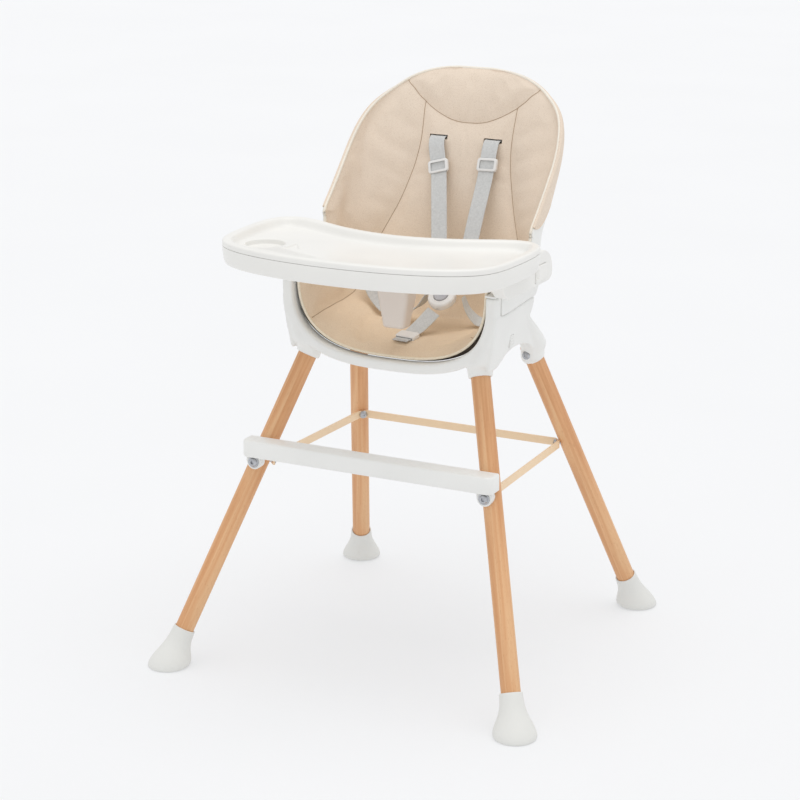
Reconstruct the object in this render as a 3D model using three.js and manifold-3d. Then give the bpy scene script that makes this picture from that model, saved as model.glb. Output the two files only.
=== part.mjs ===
// Baby high chair: beech legs in a moulded base, a lift-out bucket seat with a padded
// cover and a five-point harness, and a slide-on tray with a lift-off liner.
// Millimetres, +Z up. The chair faces -Y; the origin is on the floor under its middle.
import * as THREE from 'three';
import { mergeVertices } from 'three/addons/utils/BufferGeometryUtils.js';
import Module from 'manifold-3d';

const wasm = await Module();
wasm.setup();

// ---------------------------------------------------------------- driving dimensions
const GAP = 0.3;                       // clearance between fitted pieces
const LEG_RADIUS = 14.5;
const LEG_FOOT_Z = 14;                 // the leg's lower end, inside its foot
const LEGS = {
  front: { foot: [293.5, -285.2], mouth: [146, -97.1, 470], topZ: 490 },
  rear: { foot: [257.3, 285.2], mouth: [152.7, 82.3, 458], topZ: 480 },
};
const FOOT_TOP_Z = 57;
const BRACE = { z: 303, height: 12, thickness: 3, tab: 7, rear: [172.3, 132.5], front: [181.5, -146] };
const FOOTREST = { half: 209.5, front: -195, depth: 32, bottom: 325, top: 351, wall: 3.5 };
const LUG = { x: 193.5, z: 315, radius: 12, front: -184 };
const HOOP = { outer: [177, 124], inner: [161, 108], centreZ: 590, topZ: 596, front: -118, back: -95 };
const REAR_HOOP = { front: -8, back: 14, topZ: 560 };
const WALL = { x: 178, thickness: 5.5 };
const SEAM = [[-118, 567], [-70, 566], [-35, 568.5], [0, 570.5], [25, 571]];
const LATCH = { y: -49, z: 517.5, width: 12, height: 19, reach: 12 };
const BACK_ORIGIN = [112, 634];        // a point of the backrest's centre line (y, z)
const RECLINE = THREE.MathUtils.degToRad(16.2);
const PAD = 9.5;                       // thickness of the padded cover
const SHELL = 3;                       // thickness of the seat shell
const ARMREST = { top: 600, rearY: 42, wall: 4 };
const TRAY = { bottom: 633, deck: 640, split: 660, top: 669, wall: 4 };
const CUP = { x: -170, y: -178, radius: 29.5, floor: 649 };
const ARM = { inner: 179.2, outer: 200 };
const BUTTON = { y: -7, z: 615.5, length: 38, height: 24, reach: 8 };
const WEB = { width: 26, thickness: 1.8 };
const BUCKLE = { centre: [30, 10, 555], radius: 22, thickness: 13, button: 11.5 };

// ---------------------------------------------------------------- materials
const finish = (color, roughness, metalness = 0) =>
  new THREE.MeshStandardMaterial({ color, roughness, metalness });
const plastic = () => finish(0xf0f0ed, 0.4);
const beech = () => finish(0xdea878, 0.55);
const leather = () => finish(0xe6cfb4, 0.5);
const webbing = () => finish(0xc8c8cb, 0.9);
const steel = () => finish(0xb8b8ba, 0.3, 1);

const chair = new THREE.Group();
function add(name, geometry, material) {
  const mesh = new THREE.Mesh(geometry, material);
  mesh.name = name;
  chair.add(mesh);
}
const SIDES = [['left', 1], ['right', -1]];       // the sitter's own left is +X

// ---------------------------------------------------------------- geometry helpers
const v3 = (x, y, z) => new THREE.Vector3(x, y, z);

// A closed body from points and triangles, turned so that its faces point out.
function body(points, faces) {
  const volume = faces.reduce((sum, [a, b, c]) =>
    sum + points[a].dot(points[b].clone().cross(points[c])), 0);
  const geometry = new THREE.BufferGeometry().setFromPoints(points);
  geometry.setIndex(faces.flatMap(([a, b, c]) => (volume > 0 ? [a, b, c] : [a, c, b])));
  return geometry;
}

// A skin over closed rings of points, with a flat fan at each end.
function loft(rings) {
  const n = rings[0].length;
  const points = rings.flat();
  const faces = [];
  for (let r = 0; r + 1 < rings.length; r++) {
    for (let i = 0; i < n; i++) {
      const a = r * n + i;
      const b = r * n + (i + 1) % n;
      faces.push([a, b, b + n], [a, b + n, a + n]);
    }
  }
  [rings[0], rings.at(-1)].forEach((ring, end) => {
    const start = end * (rings.length - 1) * n;
    const hub = points.length;
    points.push(ring.reduce((sum, p) => sum.add(p), v3(0, 0, 0)).divideScalar(n));
    for (let i = 0; i < n; i++) {
      const pair = [start + i, start + (i + 1) % n];
      faces.push(end ? [hub, ...pair] : [hub, ...pair.reverse()]);
    }
  });
  return body(points, faces);
}

// A sheet with thickness, between two grids of points.
function sheet(front, back) {
  const rows = front.length;
  const cols = front[0].length;
  const half = rows * cols;
  const points = [...front.flat(), ...back.flat()];
  const at = (r, c) => r * cols + c;
  const faces = [];
  for (let r = 0; r + 1 < rows; r++) {
    for (let c = 0; c + 1 < cols; c++) {
      const quad = [at(r, c), at(r, c + 1), at(r + 1, c + 1), at(r + 1, c)];
      const [a, b, d, e] = quad;
      faces.push([a, b, d], [a, d, e]);
      faces.push([b + half, a + half, d + half], [d + half, a + half, e + half]);
    }
  }
  const rim = [];
  for (let c = 0; c < cols - 1; c++) rim.push(at(0, c));
  for (let r = 0; r < rows - 1; r++) rim.push(at(r, cols - 1));
  for (let c = cols - 1; c > 0; c--) rim.push(at(rows - 1, c));
  for (let r = rows - 1; r > 0; r--) rim.push(at(r, 0));
  rim.forEach((p, i) => {
    const q = rim[(i + 1) % rim.length];
    faces.push([q, p, p + half], [q, p + half, q + half]);
  });
  return body(points, faces);
}

function ring(centre, normal, radius, sides = 16) {
  const n = normal.clone().normalize();
  const u = (Math.abs(n.y) > 0.9 ? v3(1, 0, 0) : v3(0, 1, 0)).cross(n).normalize();
  const w = n.clone().cross(u);
  return Array.from({ length: sides }, (_, i) => {
    const angle = (2 * Math.PI * i) / sides;
    return centre.clone().addScaledVector(u, radius * Math.cos(angle))
      .addScaledVector(w, radius * Math.sin(angle));
  });
}

// A turned piece about the line from `start` along `direction`: stations of [distance, radius].
function turned(start, direction, stations, sides = 16) {
  const d = direction.clone().normalize();
  return loft(stations.map(([t, r]) => ring(start.clone().addScaledVector(d, t), d, r, sides)));
}

const box = (low, high) => new THREE.BoxGeometry(high[0] - low[0], high[1] - low[1], high[2] - low[2])
  .translate((low[0] + high[0]) / 2, (low[1] + high[1]) / 2, (low[2] + high[2]) / 2);

// An outline in the YZ plane given thickness from x0 to x1.
function plate(outline, x0, x1) {
  const shape = new THREE.Shape(outline.map(([y, z]) => new THREE.Vector2(y, z)));
  const extruded = new THREE.ExtrudeGeometry(shape, { depth: Math.abs(x1 - x0), bevelEnabled: false });
  const toChair = new THREE.Matrix4().makeBasis(v3(0, 1, 0), v3(0, 0, 1), v3(1, 0, 0));
  return extruded.applyMatrix4(toChair).translate(Math.min(x0, x1), 0, 0);
}

// An outline in the XY plane standing from z0 to z1.
function slab(shape, z0, z1) {
  return new THREE.ExtrudeGeometry(shape, { depth: z1 - z0, bevelEnabled: false, curveSegments: 6 })
    .translate(0, 0, z0);
}

function solid(geometry) {
  const plain = geometry.clone();
  plain.deleteAttribute('normal');
  plain.deleteAttribute('uv');
  const merged = mergeVertices(plain, 1e-4);
  return new wasm.Manifold(new wasm.Mesh({
    numProp: 3,
    vertProperties: new Float32Array(merged.attributes.position.array),
    triVerts: new Uint32Array(merged.index.array),
  }));
}

function geometryOf(manifold) {
  const mesh = manifold.getMesh();
  const geometry = new THREE.BufferGeometry();
  geometry.setAttribute('position', new THREE.BufferAttribute(new Float32Array(mesh.vertProperties), 3));
  geometry.setIndex(new THREE.BufferAttribute(new Uint32Array(mesh.triVerts), 1));
  return geometry;
}

const join = (first, ...rest) => rest.reduce((whole, g) => whole.add(solid(g)), solid(first));
const cut = (whole, ...tools) => tools.reduce((rest, g) => rest.subtract(solid(g)), whole);

// ---------------------------------------------------------------- legs and feet
function legLine(end, side) {
  const { foot, mouth } = LEGS[end];
  const floor = v3(side * foot[0], foot[1], 0);
  const top = v3(side * mouth[0], mouth[1], mouth[2]);
  const direction = top.clone().sub(floor).normalize();
  const at = (z) => floor.clone().addScaledVector(direction, z / direction.z);
  return { direction, at };
}

function legRod(end, side, radius, z0, z1) {
  const { direction, at } = legLine(end, side);
  const length = (z1 - z0) / direction.z;
  return turned(at(z0), direction, [[0, radius], [length, radius]]);
}
const legBore = (end, side) => legRod(end, side, LEG_RADIUS + GAP, LEG_FOOT_Z - 2, LEGS[end].topZ + 1);

// A domed screw: its head stands on the surface at `seat` and its shank runs along `direction`.
const SCREW = { head: 6.5, shank: 2.5 };
function screw(seat, direction, length, head = SCREW.head) {
  return turned(seat, direction, [
    [-3.4, head * 0.45], [-2.4, head * 0.85], [-0.4, head], [0, SCREW.shank], [length, SCREW.shank],
  ], 12);
}
const screwHole = (seat, direction, length) =>
  turned(seat, direction, [[-0.5, SCREW.shank + GAP], [length + 0.5, SCREW.shank + GAP]], 12);

// The screws that enter each leg: the socket's, the brace's and, in front, the footrest's.
function legScrews(end, side) {
  const inward = end === 'front' ? 1 : -1;           // towards the chair's middle along Y
  const socketZ = LEGS[end].mouth[2] + 9;
  const socketDirection = v3(0, -inward, 0);
  const socketSeat = legLine(end, side).at(socketZ).addScaledVector(socketDirection, -22);
  const [bx, by] = BRACE[end];
  const braceDirection = v3(side, -inward, 0).normalize();
  const braceSeat = v3(side * bx, by, BRACE.z + BRACE.height / 2)
    .addScaledVector(braceDirection, -BRACE.thickness / 2 - GAP);
  const screws = {
    socket_screw: [socketSeat, socketDirection, 24],
    brace_screw: [braceSeat, braceDirection, 16],
  };
  if (end === 'front') {
    screws.footrest_screw = [v3(side * LUG.x, LUG.front - GAP, LUG.z), v3(0, 1, 0), 22, 9];
  }
  return screws;
}

for (const end of ['front', 'rear']) {
  for (const [sideName, side] of SIDES) {
    const { direction, at } = legLine(end, side);
    const screws = legScrews(end, side);
    const holes = Object.values(screws).map(([seat, along, length]) => screwHole(seat, along, length));
    const rod = legRod(end, side, LEG_RADIUS, LEG_FOOT_Z, LEGS[end].topZ);
    add(`leg_${end}_${sideName}`, geometryOf(cut(solid(rod), ...holes)), beech());

    const upright = v3(0, 0, 1);
    const flare = [[0, 30], [4, 32], [12, 30.5], [22, 25.5], [32, 20.8], [42, 18], [FOOT_TOP_Z, 17.2]];
    const rings = flare.map(([z, radius]) =>
      ring(at(z), upright.clone().lerp(direction, z / FOOT_TOP_Z), radius));
    add(`foot_${end}_${sideName}`, geometryOf(cut(solid(loft(rings)), legBore(end, side))), plastic());

    for (const [name, [seat, along, length, head]] of Object.entries(screws)) {
      const place = name === 'footrest_screw' ? sideName : `${end}_${sideName}`;
      add(`${name}_${place}`, screw(seat, along, length, head), steel());
    }
  }
}

// ---------------------------------------------------------------- leg brace and footrest
// A flat path moved sideways by `o`, with mitred corners.
function offsetPath(path, o) {
  const normals = path.slice(1).map(([x, y], i) => {
    const [dx, dy] = [x - path[i][0], y - path[i][1]];
    return [dy / Math.hypot(dx, dy), -dx / Math.hypot(dx, dy)];
  });
  return path.map(([x, y], i) => {
    const before = normals[Math.max(i - 1, 0)];
    const after = normals[Math.min(i, normals.length - 1)];
    const k = o / (1 + before[0] * after[0] + before[1] * after[1]);
    return [x + k * (before[0] + after[0]), y + k * (before[1] + after[1])];
  });
}
// One bent strip: along both sides and the rear, with a flat turned to each leg.
function braceStrip() {
  const reach = BRACE.tab / Math.SQRT2;
  const flat = ([x, y], turn) => [[x - reach, y - turn * reach], [x + reach, y + turn * reach]];
  const right = [...flat(BRACE.front, 1), ...flat(BRACE.rear, -1).reverse()];
  const left = right.map(([x, y]) => [-x, y]).reverse();
  const rows = (o) => offsetPath([...right, ...left], o).map(([x, y]) =>
    [v3(x, y, BRACE.z), v3(x, y, BRACE.z + BRACE.height)]);
  return sheet(rows(BRACE.thickness / 2), rows(-BRACE.thickness / 2));
}
const braceHoles = ['front', 'rear'].flatMap((end) => SIDES.map(([, side]) => {
  const [seat, along, length] = legScrews(end, side).brace_screw;
  return screwHole(seat, along, length);
}));
add('leg_brace', geometryOf(cut(solid(braceStrip()), ...braceHoles)), finish(0xd8b691, 0.45));

function roundedBar(half, front, back, radius) {
  const shape = new THREE.Shape();
  shape.moveTo(-half + radius, front);
  shape.lineTo(half - radius, front);
  shape.absarc(half - radius, front + radius, radius, -Math.PI / 2, 0);
  shape.lineTo(half, back - 4);
  shape.absarc(half - 4, back - 4, 4, 0, Math.PI / 2);
  shape.lineTo(-half + 4, back);
  shape.absarc(-half + 4, back - 4, 4, Math.PI / 2, Math.PI);
  shape.lineTo(-half, front + radius);
  shape.absarc(-half + radius, front + radius, radius, Math.PI, 1.5 * Math.PI);
  return shape;
}
function footrest() {
  const { half, front, depth, bottom, top, wall } = FOOTREST;
  const back = front + depth;
  const lugDisc = (side) => turned(v3(side * LUG.x, LUG.front, LUG.z), v3(0, 1, 0),
    [[0, LUG.radius], [14, LUG.radius]], 20);
  const lugRib = (side) => box([side * LUG.x - LUG.radius, LUG.front, LUG.z],
    [side * LUG.x + LUG.radius, LUG.front + 7, top - wall / 2]);
  const hollow = slab(roundedBar(half - wall, front + wall, back - wall, 9), bottom - 1, top - wall);
  const tray = join(slab(roundedBar(half, front, back, 12), bottom, top));
  const whole = cut(tray, hollow).add(join(lugDisc(1), lugRib(1))).add(join(lugDisc(-1), lugRib(-1)));
  const legs = SIDES.map(([, side]) => legRod('front', side, LEG_RADIUS + 0.6, 280, 380));
  const holes = SIDES.map(([, side]) => screwHole(...legScrews('front', side).footrest_screw.slice(0, 3)));
  return geometryOf(cut(whole, ...legs, ...holes));
}
add('footrest', footrest(), plastic());

// ---------------------------------------------------------------- base frame
// Half a rounded-U outline: x and drop below the centre, from the bottom to the side.
const ROUND = 2.8;
function uOutline([a, b], topZ, steps = 9) {
  const right = [];
  for (let i = 0; i <= steps; i++) {
    const angle = (i / steps) * Math.PI / 2;
    const x = a * Math.sin(angle) ** (2 / ROUND);
    right.push([x, HOOP.centreZ - b * Math.cos(angle) ** (2 / ROUND)]);
  }
  right.push([a, topZ]);
  const left = right.slice(1).reverse().map(([x, z]) => [-x, z]);
  return [...left, ...right];
}
// The outline filled up to topZ and run from y0 to y1.
function uSolid(size, topZ, y0, y1) {
  const rows = [y0, y1].map((y) => uOutline(size, topZ).map(([x, z]) => v3(x, y, z)));
  return loft(rows);
}
const lean = (z) => 14 * Math.max(0, (567 - z) / 97) ** 1.5;

function sideWall(side) {
  const lower = [[18, 550], [9, 538], [22, 520], [48, 496], [84, 470], [66, 462], [45, 483],
    [12, 499], [-28, 504], [-58, 499], [-84, 484], [-112, 484]];
  const outline = [...SEAM.map(([y, z]) => [y, z]), ...lower];
  const wall = plate(outline, WALL.x - WALL.thickness, WALL.x);
  const place = wall.attributes.position;
  for (let i = 0; i < place.count; i++) place.setX(i, place.getX(i) - lean(place.getZ(i)));
  if (side < 0) wall.applyMatrix4(new THREE.Matrix4().makeScale(-1, 1, 1));
  return side < 0 ? flipped(wall) : wall;
}
function flipped(geometry) {
  const plain = geometry.clone();
  const place = plain.attributes.position;
  for (let i = 0; i < place.count; i += 3) {
    const first = v3(0, 0, 0).fromBufferAttribute(place, i);
    const second = v3(0, 0, 0).fromBufferAttribute(place, i + 1);
    place.setXYZ(i, ...second);
    place.setXYZ(i + 1, ...first);
  }
  return plain;
}

const SOCKET_RINGS = {                               // x, y, z, radius above the mouth
  front: [[147.5, -99, 490, 20], [157, -102.5, 518, 15.5], [164, -106, 548, 10]],
  rear: [[157, 69, 482, 19.5], [160, 44, 508, 17], [164.5, 14, 532, 13]],
};
function socket(end, side) {
  const { direction, at } = legLine(end, side);
  const mouthZ = LEGS[end].mouth[2];
  const rings = [ring(at(mouthZ), direction, 18), ring(at(mouthZ + 6), direction, 18.6)];
  const up = v3(0, 0, 1);
  for (const [x, y, z, r] of SOCKET_RINGS[end]) {
    rings.push(ring(v3(side * x, y, z), up.clone().lerp(direction, 0.3), r));
  }
  return loft(rings);
}

function latchWindow(side, slack) {
  const half = [LATCH.width / 2 + slack, LATCH.height / 2 + slack];
  const xs = [side * 150, side * 190].sort((a, b) => a - b);
  return box([xs[0], LATCH.y - half[0], LATCH.z - half[1]], [xs[1], LATCH.y + half[0], LATCH.z + half[1]]);
}

function baseFrame() {
  let whole = solid(uSolid(HOOP.outer, HOOP.topZ, HOOP.front, HOOP.back));
  const rearHoop = join(uSolid([174, 122], HOOP.topZ, REAR_HOOP.front, REAR_HOOP.back));
  whole = whole.add(cut(rearHoop, box([-200, -20, REAR_HOOP.topZ], [200, 100, HOOP.topZ + 1])));
  for (const [, side] of SIDES) {
    whole = whole.add(join(sideWall(side), socket('front', side), socket('rear', side)));
  }
  whole = cut(whole,
    uSolid(HOOP.inner, 640, HOOP.front - 10, HOOP.back + 1),
    uSolid([166, 110], 640, HOOP.back, 118),
    seatLayer(STATIONS, -20, PAD + SHELL + 1.5));
  for (const [, side] of SIDES) {
    for (const end of ['front', 'rear']) {
      const [seat, along, length] = legScrews(end, side).socket_screw;
      const face = seat.clone().addScaledVector(along, GAP);
      const recess = turned(face, along, [[-30, SCREW.head + 1], [0, SCREW.head + 1]], 16);
      whole = cut(whole, legBore(end, side), screwHole(seat, along, length), recess);
    }
    whole = cut(whole, latchWindow(side, 0.5));
  }
  return geometryOf(whole);
}
// ---------------------------------------------------------------- the seat's surface
// Stations along the seat's centre line, from the pan's front edge to the top of the back.
// Each has its centre (y, z), the rim straight out from it (y, z) and the half-width there.
const PAN = [
  { centre: [-104, 496], rim: [-104, 600], width: 147 },
  { centre: [-62, 499], rim: [-72, 600.5], width: 147.5 },
  { centre: [-18, 500], rim: [-40, 602], width: 149 },
  { centre: [22, 501], rim: [-16, 606], width: 152 },
  { centre: [50, 506], rim: [-2, 615], width: 156 },
  { centre: [73, 522], rim: [6, 630], width: 160 },
  { centre: [86, 545], rim: [10, 644], width: 162 },
  { centre: [93.5, 572], rim: [12.5, 655], width: 163.5 },
  { centre: [103, 604], rim: [14, 665], width: 164.5 },
];
const UP = [Math.sin(RECLINE), Math.cos(RECLINE)];         // along the back (y, z)
const OUT = [-Math.cos(RECLINE), Math.sin(RECLINE)];       // forward from the back (y, z)
const TOP_S = 258;
const lip = (s) => Math.min(1, (TOP_S - s) / 40);          // how far the rim is turned forward
const backWidth = (s) => (174 - 9 * lip(s)) * (1 - Math.max(0, (s - 90) / 168) ** 2.6) ** (1 / 2.6);
const backDepth = (s) => 8 * lip(s) + 96 * Math.max(0, 1 - (s - 12) / 212) ** 1.25;
function backStation(s) {
  const centre = [BACK_ORIGIN[0] + s * UP[0], BACK_ORIGIN[1] + s * UP[1]];
  const depth = backDepth(s);
  return { centre, rim: [centre[0] + depth * OUT[0], centre[1] + depth * OUT[1]], width: backWidth(s) };
}
const BACK = [12, 45, 80, 115, 148, 178, 205, 226, 241, 251, 256.5].map(backStation);
const STATIONS = [...PAN, ...BACK];

function seatPoint({ centre, rim, width }, angle) {
  const x = width * Math.sign(angle) * Math.abs(Math.sin(angle)) ** (2 / ROUND);
  const rise = 1 - Math.max(0, Math.cos(angle)) ** (2 / ROUND);
  return v3(x, centre[0] + rise * (rim[0] - centre[0]), centre[1] + rise * (rim[1] - centre[1]));
}
const ACROSS = 7;                                          // steps from the middle to the rim
// A grid of the surface moved outward (away from the sitter) by `offset`.
function seatGrid(stations, offset) {
  const angles = Array.from({ length: 2 * ACROSS + 1 }, (_, i) => ((i / ACROSS - 1) * Math.PI) / 2);
  const grid = stations.map((station) => angles.map((angle) => seatPoint(station, angle)));
  const offsetAt = (angle) => (typeof offset === 'function' ? offset(angle) : offset);
  return grid.map((row, r) => row.map((point, c) => {
    const ahead = grid[Math.min(r + 1, grid.length - 1)][c].clone();
    const along = ahead.sub(grid[Math.max(r - 1, 0)][c]);
    const right = row[Math.min(c + 1, row.length - 1)].clone();
    const across = right.sub(row[Math.max(c - 1, 0)]);
    return point.clone().addScaledVector(across.cross(along).normalize(), -offsetAt(angles[c]));
  }));
}
const seatLayer = (stations, inner, outer) =>
  sheet(seatGrid(stations, inner), seatGrid(stations, outer));

// ---------------------------------------------------------------- seat shell and cover
const slotX = 46.6;
const SLOT_S = 146;
const slotCentre = [BACK_ORIGIN[0] + SLOT_S * UP[0], BACK_ORIGIN[1] + SLOT_S * UP[1]];
function strapSlot(side) {
  const low = [side * slotX - 16, slotCentre[0] - 24, slotCentre[1] - 4];
  return box(low, [low[0] + 32, slotCentre[0] + 19, slotCentre[1] + 4]);
}
function armrest(side) {
  const edge = (lift) => SEAM.map(([y, z]) => [y, z + lift]);
  const outline = [...edge(0.6), [36, 584], [ARMREST.rearY, ARMREST.top], [-118, ARMREST.top]];
  const hollow = [...edge(-3), [34, 580], [36, ARMREST.top - 6], [-114, ARMREST.top - 6]];
  return cut(join(plate(outline, side * 159.8, side * WALL.x)),
    plate(hollow, side * 140, side * (WALL.x - ARMREST.wall)));
}
function seatShell() {
  const inner = PAD + 0.5;
  let whole = solid(seatLayer(STATIONS, inner, inner + SHELL));
  for (const [, side] of SIDES) {
    const outside = cut(armrest(side), seatLayer(STATIONS, -6, inner));
    const xs = [side * 150, side * (WALL.x + 1)].sort((a, b) => a - b);
    const hoopRoom = cut(outside, box([xs[0], HOOP.front - 1, 560], [xs[1], HOOP.back + 0.5, HOOP.topZ + 1]));
    const pieces = hoopRoom.decompose().sort((p, q) => q.volume() - p.volume());
    whole = whole.add(pieces[0]);
  }
  return geometryOf(cut(whole, ...SIDES.map(([, side]) => strapSlot(side))));
}
add('base_frame', baseFrame(), plastic());
add('seat_shell', seatShell(), plastic());
for (const [sideName, side] of SIDES) {
  const outer = WALL.x + 1.6 - lean(LATCH.z);
  const xs = [side * (outer - LATCH.reach), side * outer].sort((a, b) => a - b);
  const half = [LATCH.width / 2, LATCH.height / 2];
  add(`seat_latch_${sideName}`, box([xs[0], LATCH.y - half[0], LATCH.z - half[1]],
    [xs[1], LATCH.y + half[0], LATCH.z + half[1]]), plastic());
}

const padSlots = SIDES.map(([, side]) => strapSlot(side));
add('seat_pad', geometryOf(cut(solid(seatLayer(STATIONS, 0, PAD)), ...padSlots)), leather());
// The cover's rear pocket, slipped over the top of the shell; it stands off in the middle.
const standOff = (extra) => (angle) => PAD + SHELL + extra + 4 * Math.cos(angle) ** 2;
add('rear_cover', seatLayer(BACK.slice(2), standOff(1.5), standOff(3.5)), leather());

// ---------------------------------------------------------------- harness
// Curves through a route of [point, across] pairs, and the strap's frame along them.
function strapFrame(route) {
  const curve = (k) => new THREE.CatmullRomCurve3(route.map((p) => v3(...p[k])), false, 'centripetal');
  const [centre, across] = [curve(0), curve(1)];
  return (t) => {
    const along = centre.getTangent(t).normalize();
    const raw = across.getPoint(t);
    const x = raw.addScaledVector(along, -raw.dot(along)).normalize();
    return { origin: centre.getPoint(t), along, x, normal: along.clone().cross(x) };
  };
}
function strap(route, width = WEB.width, steps = 12) {
  const frameAt = strapFrame(route);
  const rows = (lift) => Array.from({ length: steps + 1 }, (_, i) => {
    const { origin, x, normal } = frameAt(i / steps);
    return [-0.5, 0.5].map((k) =>
      origin.clone().addScaledVector(x, k * width).addScaledVector(normal, lift * WEB.thickness));
  });
  return sheet(rows(0.5), rows(-0.5));
}
// Move a geometry made about the origin so that X lies along `across` and Z along `along`.
function placed(geometry, origin, across, along) {
  const z = along.clone().normalize();
  const x = across.clone().addScaledVector(z, -across.dot(z)).normalize();
  const matrix = new THREE.Matrix4().makeBasis(x, z.clone().cross(x), z).setPosition(origin);
  return geometry.applyMatrix4(matrix);
}

const ACROSS_X = [1, 0, 0];
const [slotY, slotZ] = slotCentre;
const SHOULDER = {                                   // from the slot down to the tongue
  left: [[46.6, slotY + 11, slotZ], [46.6, slotY - 3, slotZ], [47, slotY - 11, slotZ - 9],
    [48.3, 124, 728], [49.5, 69, 634], [50.5, 40.5, 580]],
  right: [[-46.6, slotY + 11, slotZ], [-46.6, slotY - 3, slotZ], [-45.5, slotY - 11, slotZ - 9],
    [-32.5, 124, 728], [-4, 68, 634], [9.5, 40.5, 580]],
};
const facing = v3(0, -0.62, 0.785).normalize();      // the way the buckle faces
const discUp = v3(0, 0.785, 0.62).normalize();
const buckleCentre = v3(...BUCKLE.centre);
const onBuckle = (x, up, out = 0) => buckleCentre.clone().add(v3(x, 0, 0))
  .addScaledVector(discUp, up).addScaledVector(facing, out);

function buckleBody() {
  const { radius, thickness, button } = BUCKLE;
  const disc = turned(onBuckle(0, 0, -thickness / 2), facing,
    [[0, radius - 2.5], [2, radius], [thickness - 3, radius], [thickness, radius - 4]], 28);
  const well = turned(onBuckle(0, 0, thickness / 2 - 5.5), facing,
    [[0, button + 0.4], [8, button + 0.4]], 24);
  return geometryOf(cut(solid(disc), well));
}
add('buckle_body', buckleBody(), finish(0xe4e4e2, 0.4));
add('buckle_button', turned(onBuckle(0, 0, BUCKLE.thickness / 2 - 1.8), facing,
  [[0, BUCKLE.button], [2.2, BUCKLE.button], [3, BUCKLE.button - 1.2]], 24), finish(0xb9b9bd, 0.5));

for (const [sideName, side] of SIDES) {
  const tongue = new THREE.BoxGeometry(20, 3.2, 17);
  add(`buckle_tongue_${sideName}`,
    placed(tongue, onBuckle(side * 20, 25.5), v3(0.83 * side, 0, 0).addScaledVector(discUp, -0.56),
      v3(0.56 * side, 0, 0).addScaledVector(discUp, 0.83)), finish(0xe4e4e2, 0.4));
  const anchor = new THREE.BoxGeometry(36, 2.2, 12).rotateX(-RECLINE);
  anchor.translate(side * slotX, slotY - OUT[0] * (PAD + SHELL + 2.4), slotZ - OUT[1] * (PAD + SHELL + 2.4));
  add(`strap_anchor_${sideName}`, anchor, steel());
}

// A slider frame round a strap: a tunnel for the webbing and a window in front.
const SLIDER = [34, 7, 19];
const SLIDER_AT = { left: 0.542, right: 0.58 };    // share of the way along each shoulder strap
function slider(route, t) {
  const half = SLIDER.map((d) => d / 2);
  const frame = box(half.map((d) => -d), half);
  const tunnel = box([-WEB.width / 2 - 1.2, -2, -half[2] - 1], [WEB.width / 2 + 1.2, 2, half[2] + 1]);
  const front = box([-half[0] + 5.5, -half[1] - 1, -half[2] + 3.5], [half[0] - 5.5, 0, half[2] - 3.5]);
  const { origin, x, along } = strapFrame(route)(t);
  return placed(geometryOf(cut(solid(frame), tunnel, front)), origin, x, along.negate());
}
for (const [sideName] of SIDES) {
  const route = SHOULDER[sideName].map((p) => [p, ACROSS_X]);
  add(`shoulder_strap_${sideName}`, strap(route, WEB.width, 18), webbing());
  add(`strap_slider_${sideName}`, slider(route, SLIDER_AT[sideName]), plastic());
}

const LAP = {                                        // from the seat's side to the tongue
  left: [[[117, 47, 566], [0, 0.5, 1]], [[106, 39, 542], [0.1, 0.6, 1]], [[86, 30, 519], [0.1, 1, 0.45]],
    [[68, 26, 534], [-0.1, 1, 0.1]], [[59, 24, 556], [-0.2, 1, -0.1]]],
  right: [[[-117, 47, 566], [0, 0.5, 1]], [[-100, 38, 540], [-0.1, 0.6, 1]], [[-62, 28, 516], [-0.1, 1, 0.45]],
    [[-20, 25, 530], [0.1, 1, 0.1]], [[1, 24, 554], [0.2, 1, -0.1]]],
};
add('lap_strap_left', strap(LAP.left, 22, 14), webbing());
add('lap_strap_right', strap(LAP.right, 22, 14), webbing());

const CROTCH = [[0, -74, 503.5], [1, -60, 504.5], [4.5, -38, 509.5], [14, -23, 521], [25, -8.5, 536.5]]
  .map((p) => [p, ACROSS_X]);
add('crotch_strap', strap(CROTCH, WEB.width, 10), webbing());
add('crotch_slider', slider(CROTCH, 0.35), plastic());

// ---------------------------------------------------------------- tray
// The tray's outline from above, drawn `inset` inside its edge: a bowed front, round corners
// and a hollow back.
function trayOutline(inset) {
  const right = [
    [33, -291.2], [66, -288.5], [99, -283.8], [130, -277], [158, -268], [182, -257], [202, -243], [216, -225],
    [224, -203], [228, -175], [230, -140], [230, -100],
    [226, -70], [215, -49], [198, -38.5], [178, -37], [150, -46], [118, -60.5], [85, -73.5], [43, -84],
  ];
  const outline = [[0, -292], ...right, [0, -88], ...right.map(([x, y]) => [-x, y]).reverse()];
  const ends = [...outline.slice(-1), ...outline, outline[0]];
  return outline.map((point, i) => {
    const [before, after] = [ends[i], ends[i + 2]];
    const [dx, dy] = [after[0] - before[0], after[1] - before[1]];
    const length = Math.hypot(dx, dy);
    return new THREE.Vector2(point[0] - (inset * dy) / length, point[1] + (inset * dx) / length);
  });
}
const traySlab = (inset, z0, z1) => slab(new THREE.Shape(trayOutline(inset)), z0, z1);
const trayWell = (z0) => turned(v3(CUP.x, CUP.y, z0), v3(0, 0, 1), [[0, CUP.radius], [40, CUP.radius]], 28);

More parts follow.
